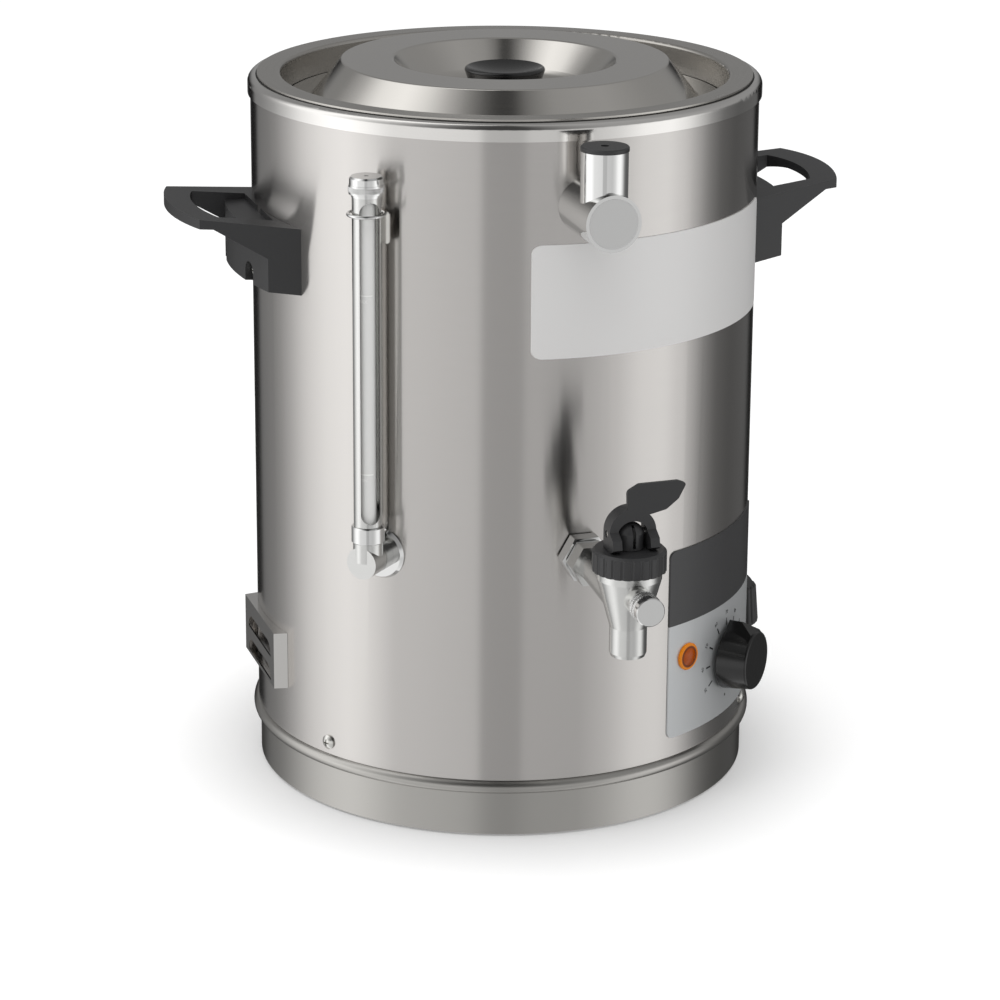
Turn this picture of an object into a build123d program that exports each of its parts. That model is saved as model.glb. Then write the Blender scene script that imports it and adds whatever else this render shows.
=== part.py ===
from build123d import *
import math
import os

os.makedirs("parts", exist_ok=True)

# Hot water urn. Millimetres, Z up, the tap points to -Y, the origin is on the axis of the
# body at table level. Angles are in degrees from the front, towards +X.

# Fits and clearances
slip_gap = 0.2
seat_gap = 0.05
running_gap = 0.08
moving_gap = 0.4

# Body shell
body_radius = 150.0
body_height = 423.0
jacket_wall = 1.0

# Base ring, a pressed skirt with a rolled bead that carries the jacket
table_gap = 1.5
ring_wall = 1.0
bead_height = 31.5
bead_radius = 4.0
bead_bulge = 4.2
spigot_rise = 14.5
base_flange = 7.8
base_plate_wall = 1.0
foot_radius = 10.0
foot_inset = 30.0
foot_stem_radius = 3.0
foot_stem_height = 9.0

# Pan-head screws through jacket and spigot
base_screw_angles = (-60.0, 60.0, 180.0)
base_screw_rise = 7.45
screw_radius = 2.0
screw_head_radius = 4.3
screw_head_height = 2.6
screw_length = 9.0
screw_nut_flats = 7.0
screw_nut_height = 3.2
screw_spare = 1.5

# Top collar, gasket and pot
collar_wall = 1.4
collar_drop = 10.0
collar_round = 4.0
ledge_depth = 3.2
ledge_width = 5.8
gasket_height = 3.5
pot_wall = 1.2
neck_inset = 18.0
neck_taper = 1.0
lid_seat_drop = 17.5
water_space = 30.0
tap_over_floor = 22.5
pot_corner = 3.0
pot_base_rim = 10.0
neck_round = 2.0
ledge_round = 2.5

# Vessel floor and heating element
vessel_floor_wall = 1.0
vessel_floor_drop = 20.8
vessel_floor_rim = 12.0
element_inset = 70.0
element_radius = 4.0
element_bend = 9.0
element_lift = 13.0
element_opening = 14.0
element_tail = 34.0
gland_flats = 16.0
gland_height = 6.0
cutout_radius = 9.0
cutout_height = 11.0
cutout_offset = 45.0

# Lid
lid_wall = 0.8
lid_play = 0.7
lid_brim = 15.0
lid_rise = 23.3
lid_slope = 18.9
lid_crown_round = 1.5
lid_foot_round = 1.2
dish_radius = 66.0
dish_wall_run = 20.0
dish_depth = 21.4
dish_round = 2.0
dish_floor_round = 18.0

# Lid knob
lid_knob_radius = 23.8
lid_knob_base = 19.0
lid_knob_height = 16.4
lid_knob_recess = 4.5
lid_knob_wall = 3.5
lid_knob_hub = 7.0
lid_screw_radius = 2.5
lid_washer_radius = 10.0
lid_washer_height = 1.2

# Side handles
handle_reach = 53.5
handle_half_root = 56.5
handle_half_tip = 44.9
handle_grip_root = 45.0
handle_grip_bow = 8.5
handle_drop = 71.8
handle_slope = 0.116
handle_depth = 38.7
handle_block = 16.0
handle_block_step = 3.2
handle_web = 22.6
handle_knee = 4.95
handle_knee_run = 37.5
handle_lip = 6.5
finger_near = 36.0
finger_far = 34.5
finger_reach = 32.0
finger_bow = 6.5
handle_screw_angle = 10.4
handle_screw_drop = 30.2
handle_pocket_radius = 5.5
handle_pocket_depth = 4.5
handle_inset = 15.0
handle_spare = 5.0

# Filler stub, front centre
filler_drop = 47.0
filler_barrel_radius = 15.9
filler_barrel_bore = 13.9
filler_reach = 46.5
filler_tube_offset = 30.0
filler_tube_radius = 13.2
filler_tube_bore = 11.6
filler_tube_rise = 37.3
filler_disc_height = 2.0
filler_cap_radius = 13.45
filler_cap_height = 2.6
filler_plug_depth = 8.0
filler_plug_wall = 1.6
vent_radius = 2.4

# Sight gauge
gauge_angle = -45.0
gauge_offset = 15.0
gauge_over_floor = 40.0
gauge_top_drop = 41.7
elbow_radius = 9.35
elbow_reach = 22.8
elbow_groove_offset = 10.0
elbow_bore = 4.0
gauge_shank_radius = 8.0
gauge_shank_inside = 9.0
gauge_nut_flats = 19.2
rosette_radius = 15.15
rosette_height = 2.5
riser_radius = 8.6
riser_height = 11.4
riser_neck_radius = 7.4
riser_neck_height = 6.0
socket_radius = 9.5
socket_height = 9.6
glass_radius = 5.0
glass_wall = 1.0
shield_radius = 8.15
shield_wall = 1.0
shield_slot_angle = 44.0
shield_slot_margin = 2.3
gauge_cap_radius = 9.6
gauge_knurl_radius = 9.9
gauge_cap_height = 11.5
gauge_cap_bore = 6.4
gauge_cap_depth = 6.0
clip_drop = 10.0
clip_mean_radius = 10.3
clip_wire_radius = 1.0
bracket_half = 10.0
bracket_height = 18.3
bracket_wall = 0.8
bracket_post_radius = 5.0

# Tap
tap_height = 172.5
tap_offset = 80.5
shank_radius = 9.8
shank_bore = 6.0
lock_nut_flats = 25.0
lock_nut_height = 8.8
shank_seal_radius = 12.0
shank_seal_height = 1.2
tap_hex_flats = 22.5
tap_hex_height = 12.0
tap_neck_radius = 8.8
tap_neck_end_radius = 12.0
inner_nut_height = 7.0
shank_tail = 3.0
tap_top_radius = 18.1
tap_top_rise = 17.5
tap_rim_height = 4.0
nozzle_radius = 10.4
nozzle_bore = 7.5
nozzle_taper_drop = 14.5
nozzle_drop = 31.5
nozzle_lip = 2.0
seat_drop = 7.5
seat_bore = 6.0
seat_land = 5.0
chamber_seat_radius = 9.2
chamber_radius = 14.0
chamber_cone_rise = 12.0
plug_rise = 5.0
plug_boss_radius = 7.8
plug_boss_reach = 22.0
plug_bore = 5.0
plug_knurl_radius = 8.15
plug_head = 13.0
plug_ring = 0.6

# Bonnet, stem and lever
bonnet_radius = 20.5
bonnet_gap = 0.6
bonnet_height = 12.3
bonnet_chamfer = 1.6
bonnet_flutes = 24
bonnet_flute_radius = 1.5
bonnet_spigot = 4.0
stem_radius = 3.0
stem_flange_radius = 6.5
stem_flange_height = 1.5
stem_rise = 3.0
seal_radius = 8.0
seal_height = 4.5
spring_mean_radius = 5.4
spring_wire = 0.55
spring_turns = 4
pivot_rise = 9.1
cam_rest = 8.8
cam_growth = 5.0
cam_sweep = 40.0
hub_radius = 7.8
hub_dome = 6.0
hub_slot = 1.7
pin_radius = 2.0
leg_gap = 0.4
leg_width = 5.3
leg_half_depth = 5.0
arch_clear = 7.6
wing_wall = 2.0
wing_rise = 28.5
wing_span = 30.5

# Control panel
panel_angle = 45.45
panel_half_width = 57.5
panel_bottom = 47.5
panel_top = 163.5
panel_wall = 0.8
panel_corner = 4.0
dial_height = 83.3
dial_knob_back = 19.5
dial_knob_front = 17.6
dial_knob_gap = 2.2
dial_knob_depth = 18.0
dial_knob_wall = 2.0
dial_knob_round = 1.6
dial_nose_reach = 22.8
dial_nose_tip = 1.5
dial_nose_flat = 8.0
dial_hub_wall = 3.0
dial_hub_roof = 4.0
dial_shaft_radius = 3.0
dial_bush_radius = 5.0
thermostat_width = 38.0
thermostat_depth = 24.0
lamp_angle = 28.95
lamp_height = 95.9
lamp_flange_radius = 8.2
lamp_flange = 1.6
lamp_dome_radius = 5.6
lamp_dome = 1.6
lamp_body_radius = 5.0
lamp_body_length = 22.0

# Plates, vent cover, rear gland and terminal block
info_angle = 26.2
info_half_width = 92.2
info_drop = 68.5
info_height = 65.5
info_wall = 0.5
info_corner = 5.0
vent_half_width = 36.4
vent_bottom = 64.7
vent_height = 34.7
vent_stand = 3.3
vent_flare = 2.0
vent_wall = 0.8
vent_inset = 20.0
louvre_count = 2
louvre_half_width = 30.2
louvre_height = 10.5
louvre_first = 2.2
louvre_pitch = 15.0
louvre_push = 2.2
vent_slot_half = 26.0
vent_slot_height = 5.0
cord_gland_height = 75.0
cord_gland_radius = 9.0
cord_gland_bore = 4.2
cord_gland_inner_bore = 6.0
cord_gland_tail = 10.0
cord_gland_flats = 20.0
cord_gland_reach = 20.0
hood_angle = 90.0
hood_offset = 4.7
hood_bottom = 63.0
hood_cone_height = 23.5
hood_foot_radius = 13.9
hood_shoulder_radius = 12.2
hood_dome = 9.3
hood_ribs = 11
hood_rib_pitch = 17.0
hood_rib_radius = 1.9
hood_rib_stand = 1.1
hood_stem_radius = 6.0
hood_stem_offset = 9.2
hood_stem_drop = 10.0
hood_shank_rise = 12.0
hood_shank_radius = 6.0
hood_shank_tail = 2.0
hood_nut_flats = 19.0
hood_nut_height = 5.0
terminal_width = 44.0
terminal_depth = 18.0
terminal_height = 16.0
terminal_inset = 50.0

# Places that follow from the sizes above
jacket_bore = body_radius - jacket_wall
skirt_radius = jacket_bore - slip_gap
jacket_bottom = bead_height + bead_radius + seat_gap
jacket_top = body_height - collar_wall - slip_gap
base_screw_height = jacket_bottom + base_screw_rise
foot_circle = body_radius - foot_inset
collar_leg_outer = jacket_bore - 4 * slip_gap
collar_leg_inner = collar_leg_outer - collar_wall
ledge_top = body_height - ledge_depth
ledge_inner = collar_leg_inner - ledge_width
pot_rim = ledge_top + gasket_height + pot_wall
lid_seat = pot_rim - lid_seat_drop
neck_radius = body_radius - neck_inset
seat_radius = neck_radius - neck_taper
pot_radius = body_radius - water_space
pot_floor = tap_height - tap_over_floor
vessel_floor = pot_floor - vessel_floor_drop
element_circle = body_radius - element_inset
lid_radius = seat_radius - lid_play
lid_bottom = lid_seat + 2 * seat_gap + slip_gap
plate_top = table_gap + ring_wall + base_plate_wall
handle_top = body_height - handle_drop
handle_bottom = handle_top - handle_depth
handle_screw_height = handle_top - handle_screw_drop
filler_height = body_height - filler_drop
filler_tube_top = filler_height + filler_tube_rise
info_top = body_height - info_drop
info_bottom = info_top - info_height
column_radius = body_radius + gauge_offset
gauge_height = vessel_floor + gauge_over_floor
riser_top = gauge_height + riser_height
socket_top = riser_top + socket_height
shield_top = body_height - gauge_top_drop
clip_height = shield_top - clip_drop
tap_radius = body_radius + tap_offset
tap_top = tap_height + tap_top_rise
bonnet_top = tap_top + bonnet_gap + bonnet_height
pivot_height = bonnet_top + pivot_rise
seat_height = tap_height - seat_drop


# Shape helpers
def outward(angle, distance, height):
    # Plane whose normal points away from the body axis; its Y is up
    turn = math.radians(angle)
    origin = (distance * math.sin(turn), -distance * math.cos(turn), height)
    return Plane(origin=origin, x_dir=(math.cos(turn), math.sin(turn), 0),
                 z_dir=(math.sin(turn), -math.cos(turn), 0))


def standing(angle, distance, height):
    # Plane lying level at a point beside the body axis
    turn = math.radians(angle)
    origin = (distance * math.sin(turn), -distance * math.cos(turn), height)
    return Plane(origin=origin, x_dir=(math.cos(turn), math.sin(turn), 0), z_dir=(0, 0, 1))


def rod(plane, radius, start, end):
    bar = Cylinder(radius, end - start, align=(Align.CENTER, Align.CENTER, Align.MIN))
    return plane.location * (Pos(0, 0, start) * bar)


def tube(plane, outer, inner, start, end):
    return rod(plane, outer, start, end) - rod(plane, inner, start, end)


def hexagon(plane, flats, start, end):
    prism = extrude(RegularPolygon(flats / 2, 6, major_radius=False), end - start)
    return plane.location * (Pos(0, 0, start) * prism)


def block(plane, width, height, start, end):
    solid = Box(width, height, end - start, align=(Align.CENTER, Align.CENTER, Align.MIN))
    return plane.location * (Pos(0, 0, start) * solid)


def turned(outline, plane=Plane.XY):
    # Solid of revolution about the plane's normal; the outline is (radius, height) edges
    section = Plane.XZ * make_face(outline)
    return plane.location * revolve(section, Axis.Z)


def lathe(points, plane=Plane.XY):
    return turned(Polyline(*points, close=True), plane)


def pressed(path, wall, side=Side.LEFT):
    # Sheet-metal revolve: the path is one face of the sheet, the wall goes to one side
    section = Plane.XZ * make_face(path.offset_2d(wall, side=side))
    return revolve(section, Axis.Z)


def full_cylinder(radius):
    return rod(Plane.XY, radius, -10, 2 * body_height)


def dome_arc(radius, base, crown):
    # Arc centred on the axis of revolution, from the edge of a dome or dish to its middle
    rise = crown - base
    ball = (radius ** 2 + rise ** 2) / (2 * rise)
    half = math.asin(radius / abs(ball)) / 2
    middle = (abs(ball) * math.sin(half), crown - ball + ball * math.cos(half))
    return ThreePointArc((radius, base), middle, (0, crown))


def flat_inside(bore, half_width):
    # Where a flat face of this half width meets the inside of a round wall
    return math.sqrt(bore ** 2 - half_width ** 2) - seat_gap


def wrapped_plate(angle, half_width, bottom, top, corner, inner, wall):
    # Thin plate with round corners, bent to the jacket
    plane = outward(angle, 0, (bottom + top) / 2)
    slab = extrude(plane * RectangleRounded(2 * half_width, top - bottom, corner), inner + 2 * wall)
    return (slab & full_cylinder(inner + wall)) - full_cylinder(inner)


# Body shell
def make_base_ring():
    path = Wire([
        Line((skirt_radius - base_flange, table_gap), (skirt_radius, table_gap)),
        Line((skirt_radius, table_gap), (skirt_radius, bead_height - bead_radius)),
        ThreePointArc((skirt_radius, bead_height - bead_radius),
                      (skirt_radius + bead_bulge, bead_height),
                      (skirt_radius, bead_height + bead_radius)),
        Line((skirt_radius, bead_height + bead_radius),
             (skirt_radius, bead_height + bead_radius + spigot_rise)),
    ])
    ring = pressed(path, ring_wall)
    for angle in base_screw_angles:
        ring -= rod(outward(angle, 0, base_screw_height), screw_radius + slip_gap, 1, body_radius)
    return ring


def foot_planes():
    return [standing(45 + 90 * n, foot_circle, 0) for n in range(4)]


def make_base_plate():
    plate = rod(Plane.XY, skirt_radius - ring_wall - slip_gap, plate_top - base_plate_wall, plate_top)
    for plane in foot_planes():
        plate -= rod(plane, foot_stem_radius + slip_gap, 0, body_height)
    return plate


def make_feet():
    underside = plate_top - base_plate_wall
    feet = []
    for plane in foot_planes():
        foot = lathe([(0, 0), (foot_radius - 1, 0), (foot_radius, 1), (foot_radius, underside),
                      (foot_stem_radius, underside), (foot_stem_radius, plate_top),
                      (foot_stem_radius + 1.2, plate_top), (foot_stem_radius - 0.8, foot_stem_height),
                      (0, foot_stem_height)], plane)
        feet.append(foot)
    return Compound(feet)


def pan_screw(plane, seat, length):
    # Round pan head outside the seat, shank inwards
    head = screw_head_radius
    top = screw_head_height
    outline = Wire([
        Line((0, -length), (screw_radius, -length)),
        Line((screw_radius, -length), (screw_radius, 0)),
        Line((screw_radius, 0), (head, 0)),
        Line((head, 0), (head, top * 0.35)),
        dome_arc(head, top * 0.35, top),
        Line((0, top), (0, -length)),
    ])
    screw = Pos(0, 0, seat) * turned(outline)
    cross = Pos(0, 0, seat + top * 0.75) * (Box(4.2, 0.9, top) + Box(0.9, 4.2, top))
    return plane.location * (screw - cross)


def make_base_screws():
    solids = []
    nut_face = flat_inside(skirt_radius - ring_wall, screw_nut_flats / 2 + 0.6)
    for angle in base_screw_angles:
        plane = outward(angle, 0, base_screw_height)
        solids.append(pan_screw(plane, body_radius + seat_gap, screw_length))
        nut = hexagon(plane, screw_nut_flats, nut_face - screw_nut_height, nut_face)
        solids.append(nut - rod(plane, screw_radius + seat_gap, 0, body_radius))
    return Compound(solids)


def handle_screw_planes(side_angle):
    turns = (-handle_screw_angle, handle_screw_angle)
    return [outward(side_angle + turn, 0, handle_screw_height) for turn in turns]


def louvre_lips():
    # Heights of the open lower edges of the louvres
    return [vent_bottom + louvre_first + louvre_pitch * n for n in range(louvre_count)]


def hood_shank_plane():
    return outward(hood_angle, 0, hood_bottom + hood_shank_rise)


def make_outer_jacket():
    jacket = tube(Plane.XY, body_radius, jacket_bore, jacket_bottom, jacket_top)
    reach = 2 * body_radius
    for angle in base_screw_angles:
        jacket -= rod(outward(angle, 0, base_screw_height), screw_radius + slip_gap, 1, reach)
    for side_angle in (-90, 90):
        for plane in handle_screw_planes(side_angle):
            jacket -= rod(plane, screw_radius + slip_gap, 1, reach)
    for lip in louvre_lips():
        plane = outward(-90, 0, lip + louvre_height / 2)
        jacket -= block(plane, 2 * vent_slot_half, vent_slot_height, 1, reach)
    jacket -= rod(hood_shank_plane(), hood_shank_radius + slip_gap, 1, reach)
    jacket -= rod(outward(0, 0, filler_height), filler_barrel_bore, 1, reach)
    jacket -= rod(outward(0, 0, tap_height), shank_radius + slip_gap, 1, reach)
    jacket -= rod(outward(gauge_angle, 0, gauge_height), gauge_shank_radius + slip_gap, 1, reach)
    jacket -= rod(outward(gauge_angle, 0, bracket_middle()), screw_radius + slip_gap, 1, reach)
    jacket -= rod(outward(panel_angle, 0, dial_height), dial_bush_radius + slip_gap, 1, reach)
    jacket -= rod(outward(lamp_angle, 0, lamp_height), lamp_body_radius + slip_gap, 1, reach)
    jacket -= rod(outward(180, 0, cord_gland_height), cord_gland_radius + slip_gap, 1, reach)
    return jacket


def make_top_collar():
    skirt_in = body_radius + slip_gap
    skirt_out = skirt_in + collar_wall
    under = body_height - collar_wall
    ledge_under = ledge_top - collar_wall
    arc_side = body_height - collar_round
    arc_top = skirt_out - collar_round
    bow = collar_round * (1 - math.sqrt(0.5))
    outline = Wire([
        Line((skirt_in, body_height - collar_drop), (skirt_out, body_height - collar_drop)),
        Line((skirt_out, body_height - collar_drop), (skirt_out, arc_side)),
        ThreePointArc((skirt_out, arc_side), (skirt_out - bow, body_height - bow),
                      (arc_top, body_height)),
        Line((arc_top, body_height), (collar_leg_inner, body_height)),
        Line((collar_leg_inner, body_height), (collar_leg_inner, ledge_top)),
        Line((collar_leg_inner, ledge_top), (ledge_inner, ledge_top)),
        Line((ledge_inner, ledge_top), (ledge_inner, ledge_under)),
        Line((ledge_inner, ledge_under), (collar_leg_outer, ledge_under)),
        Line((collar_leg_outer, ledge_under), (collar_leg_outer, under)),
        Line((collar_leg_outer, under), (skirt_in, under)),
        Line((skirt_in, under), (skirt_in, body_height - collar_drop)),
    ])
    return turned(outline)


def make_pot_gasket():
    return tube(Plane.XY, collar_leg_inner - slip_gap, ledge_inner + slip_gap,
                ledge_top, ledge_top + gasket_height)


def make_pot_neck():
    # Rim flange on the gasket and the neck that stands on the ledge of the pot
    path = FilletPolyline((collar_leg_inner - 4 * slip_gap, pot_rim), (neck_radius, pot_rim),
                          (seat_radius, lid_seat), radius=[neck_round])
    return pressed(path, pot_wall) - rod(Plane.XY, body_radius, 0, lid_seat + seat_gap)


def make_inner_pot():
    # Wall of the pot with the ledge for the neck
    path = FilletPolyline((seat_radius + pot_wall, lid_seat), (pot_radius, lid_seat),
                          (pot_radius, pot_floor - pot_base_rim), radius=[ledge_round])
    pot = pressed(path, pot_wall)
    return pot - rod(outward(0, 0, tap_height), shank_radius + slip_gap, 1, body_radius)


def make_pot_base():
    # Floor of the pot, let into the foot of its wall with the rim turned down
    rim = pot_radius - seat_gap
    path = FilletPolyline((rim, pot_floor - pot_base_rim), (rim, pot_floor), (0, pot_floor),
                          radius=[pot_corner])
    return pressed(path, pot_wall)


# Vessel floor and heating element
def element_end(side):
    # End of the level ring and its direction there
    turn = math.radians(180 + side * element_opening)
    place = Vector(element_circle * math.sin(turn), -element_circle * math.cos(turn),
                   vessel_floor + element_lift)
    along = Vector(-side * math.cos(turn), -side * math.sin(turn), 0)
    return place, along


def element_leg_point(side):
    place, along = element_end(side)
    return place + along * element_bend


def make_vessel_floor():
    rim = jacket_bore - seat_gap
    path = FilletPolyline((rim, vessel_floor + vessel_floor_rim), (rim, vessel_floor - vessel_floor_wall),
                          (0, vessel_floor - vessel_floor_wall), radius=[3.0])
    floor = pressed(path, vessel_floor_wall, Side.RIGHT)
    for side in (-1, 1):
        leg = element_leg_point(side)
        floor -= rod(Plane(origin=(leg.X, leg.Y, 0)), element_radius + slip_gap, 1, body_height)
    return floor


def make_heating_element():
    edges = []
    drop = Vector(0, 0, -1)
    ends = {}
    for side in (-1, 1):
        place, along = element_end(side)
        corner = place + along * element_bend + drop * element_bend
        middle = place + along * (element_bend * math.sin(math.pi / 4))
        middle = middle + drop * (element_bend * (1 - math.cos(math.pi / 4)))
        tip = corner + drop * (element_tail - element_bend)
        edges.append(ThreePointArc(place, middle, corner))
        edges.append(Line(corner, tip))
        ends[side] = (place, tip)
    front = Vector(0, -element_circle, vessel_floor + element_lift)
    edges.append(ThreePointArc(ends[-1][0], front, ends[1][0]))
    path = Wire(edges)
    start = path @ 0
    return sweep(Plane(origin=start, z_dir=path % 0) * Circle(element_radius), path=path)


def make_element_glands():
    solids = []
    under = vessel_floor - vessel_floor_wall
    for side in (-1, 1):
        leg = element_leg_point(side)
        plane = Plane(origin=(leg.X, leg.Y, 0))
        for start, end in ((under - gland_height, under), (vessel_floor, vessel_floor + 1.5)):
            nut = hexagon(plane, gland_flats, start, end)
            solids.append(nut - rod(plane, element_radius + seat_gap, start, end))
    return Compound(solids)


def make_thermal_cutout():
    plane = Plane(origin=(cutout_offset, cutout_offset / 2, 0))
    top = vessel_floor - vessel_floor_wall
    cup = rod(plane, cutout_radius, top - cutout_height, top)
    flange = rod(plane, cutout_radius + 2.5, top - 1.2, top)
    tabs = Box(2, 5, 9, align=(Align.CENTER, Align.CENTER, Align.MAX))
    pair = (Pos(-5, 0, 0) * tabs) + (Pos(5, 0, 0) * tabs)
    return cup + flange + Pos(cutout_offset, cutout_offset / 2, top - cutout_height) * pair


def make_terminal_block():
    body = Box(terminal_width, terminal_depth, terminal_height,
               align=(Align.CENTER, Align.CENTER, Align.MIN))
    pitch = terminal_width / 3
    for n in (-1, 0, 1):
        body -= Pos(n * pitch, 0, terminal_height - 6) * Cylinder(
            3, 7, align=(Align.CENTER, Align.CENTER, Align.MIN))
        body -= Pos(n * pitch, 0, terminal_height / 2 - 1) * Box(5, terminal_depth + 2, 4)
    return Pos(0, body_radius - terminal_inset, plate_top) * body


# Lid
def make_lid():
    top = lid_bottom + lid_wall
    foot = lid_radius - lid_brim
    crown = top + lid_rise
    floor = lid_dish_floor()
    path = FilletPolyline(
        (lid_radius, top), (foot, top), (foot - lid_slope, crown), (dish_radius, crown),
        (dish_radius - dish_wall_run, floor), (0, floor),
        radius=[lid_foot_round, lid_crown_round, dish_round, dish_floor_round])
    lid = pressed(path, lid_wall)
    return lid - rod(Plane.XY, lid_screw_radius + slip_gap, floor - dish_depth, floor + dish_depth)


def lid_dish_floor():
    return lid_bottom + lid_wall + lid_rise - dish_depth


def make_lid_knob():
    base = lid_dish_floor() + seat_gap
    top = base + lid_knob_height
    rim = lid_knob_radius
    roof = top - lid_knob_recess - lid_knob_wall
    outline = Wire([
        Line((0, base), (lid_knob_hub, base)),
        Line((lid_knob_hub, base), (lid_knob_hub, roof - 2)),
        Line((lid_knob_hub, roof - 2), (lid_knob_base - lid_knob_wall, roof - 2)),
        Line((lid_knob_base - lid_knob_wall, roof - 2), (lid_knob_base - lid_knob_wall, base + 0.5)),
        Line((lid_knob_base - lid_knob_wall, base + 0.5), (lid_knob_base, base + 0.5)),
        Line((lid_knob_base, base + 0.5), (rim, top - 2)),
        ThreePointArc((rim, top - 2), (rim - 0.6, top - 0.6), (rim - 2, top)),
        dome_arc(rim - 2, top, top - lid_knob_recess),
        Line((0, top - lid_knob_recess), (0, base)),
    ])
    return turned(outline) - rod(Plane.XY, lid_screw_radius + seat_gap, base - 1, roof - 1)


def make_lid_knob_screw():
    under = lid_dish_floor() - lid_wall
    roof = lid_dish_floor() + lid_knob_height - lid_knob_recess - lid_knob_wall
    washer = tube(Plane.XY, lid_washer_radius, lid_screw_radius + seat_gap, under - lid_washer_height, under)
    head = rod(Plane.XY, 2 * lid_screw_radius, under - lid_washer_height - 3, under - lid_washer_height)
    shank = rod(Plane.XY, lid_screw_radius, under - lid_washer_height, roof - 2)
    drive = Pos(0, 0, under - lid_washer_height - 3) * Box(8, 1.2, 2.4)
    return Compound([washer, (head + shank) - drive])


# Side handles
def handle_plan():
    # Outline seen from above, reaching out along +X
    tip = body_radius + handle_grip_root
    root = body_radius - 11
    return make_face(Wire([
        Line((root, -handle_half_root), (root, handle_half_root)),
        Line((root, handle_half_root), (tip, handle_half_tip)),
        ThreePointArc((tip, handle_half_tip), (tip + handle_grip_bow, 0), (tip, -handle_half_tip)),
        Line((tip, -handle_half_tip), (root, -handle_half_root)),
    ]))


def finger_plan():
    near = body_radius
    far = body_radius + finger_reach
    return make_face(Wire([
        Line((near, -finger_near), (near, finger_near)),
        Line((near, finger_near), (far, finger_far)),
        ThreePointArc((far, finger_far), (far + finger_bow, 0), (far, -finger_far)),
        Line((far, -finger_far), (near, -finger_near)),
    ]))


def side_prism(points, half):
    return extrude(Plane.XZ * make_face(Polyline(*points, close=True)), half, both=True)


def make_handle(angle):
    inside = body_radius - handle_inset
    reach = handle_reach + handle_spare
    far = body_radius + reach
    top_in = handle_top - handle_inset * handle_slope
    top_far = handle_top + reach * handle_slope
    lip_far = top_far - handle_lip
    knee = body_radius + handle_knee_run
    knee_under = handle_top + handle_knee_run * handle_slope - handle_knee
    web_under = handle_top - handle_web
    half = handle_half_root + handle_spare
    upper = side_prism([(inside, top_in), (far, top_far), (far, lip_far), (knee, knee_under),
                        (body_radius, web_under), (inside, web_under - 9)], half)
    block_far = body_radius + handle_block + 8
    lower = side_prism([(inside, top_in), (block_far, top_in + 3), (block_far, handle_bottom + 3),
                        (inside, handle_bottom - 2)], half) & full_cylinder(body_radius + handle_block)
    handle = (upper + lower) & extrude(handle_plan(), 2 * body_height)
    handle -= full_cylinder(body_radius + seat_gap)
    opening = extrude(finger_plan(), 2 * body_height)
    handle -= opening - full_cylinder(body_radius + handle_block)
    handle -= opening & (Pos(0, 0, handle_top - handle_block_step) * extrude(finger_plan(), body_height))
    pocket_floor = body_radius + handle_block - handle_pocket_depth
    pocket_end = body_radius + 2 * handle_block
    for turn in (-handle_screw_angle, handle_screw_angle):
        plane = outward(90 + turn, 0, handle_screw_height)
        below = outward(90 + turn, 0, handle_screw_height - handle_depth / 2)
        handle -= rod(plane, handle_pocket_radius, pocket_floor, pocket_end)
        handle -= block(below, 2 * handle_pocket_radius, handle_depth, pocket_floor, pocket_end)
        handle -= rod(plane, screw_radius + slip_gap, 1, body_radius + handle_block)
    return Rot(0, 0, angle - 90) * handle


def make_handle_screws():
    solids = []
    seat = body_radius + handle_block - handle_pocket_depth + seat_gap
    nut_face = flat_inside(jacket_bore, screw_nut_flats / 2 + 0.6)
    for side_angle in (-90, 90):
        for plane in handle_screw_planes(side_angle):
            solids.append(pan_screw(plane, seat, seat - nut_face + screw_nut_height + screw_spare))
            nut = hexagon(plane, screw_nut_flats, nut_face - screw_nut_height, nut_face)
            solids.append(nut - rod(plane, screw_radius + seat_gap, 0, body_radius))
    return Compound(solids)


# Filler stub
def make_filler_stub():
    plane = outward(0, 0, filler_height)
    end = body_radius + filler_reach
    tube_radius = body_radius + filler_tube_offset
    riser = standing(0, tube_radius, filler_height)
    stub = rod(plane, filler_barrel_radius, body_radius - 8, end)
    stub += rod(riser, filler_tube_radius, 0, filler_tube_rise)
    stub -= full_cylinder(body_radius + seat_gap)
    stub -= rod(plane, filler_barrel_bore, 1, end + 1)
    return stub - rod(riser, filler_tube_bore, 0, filler_tube_rise + 1)


def make_filler_end_disc():
    plane = outward(0, 0, filler_height)
    end = body_radius + filler_reach
    return rod(plane, filler_barrel_bore - seat_gap, end - filler_disc_height, end + seat_gap)


def make_filler_cap():
    plug = filler_tube_bore - 2 * running_gap
    plane = standing(0, body_radius + filler_tube_offset, filler_tube_top)
    return lathe([(vent_radius, 0), (plug - filler_plug_wall, -1), (plug - filler_plug_wall, -filler_plug_depth),
                  (plug, -filler_plug_depth), (plug, seat_gap), (filler_cap_radius, seat_gap),
                  (filler_cap_radius, filler_cap_height - 0.6), (filler_cap_radius - 0.6, filler_cap_height),
                  (vent_radius, filler_cap_height)], plane)


# Sight gauge
def column_plane(height):
    return standing(gauge_angle, column_radius, height)


def bracket_middle():
    return clip_height + 0.5 - bracket_height / 2


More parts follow.
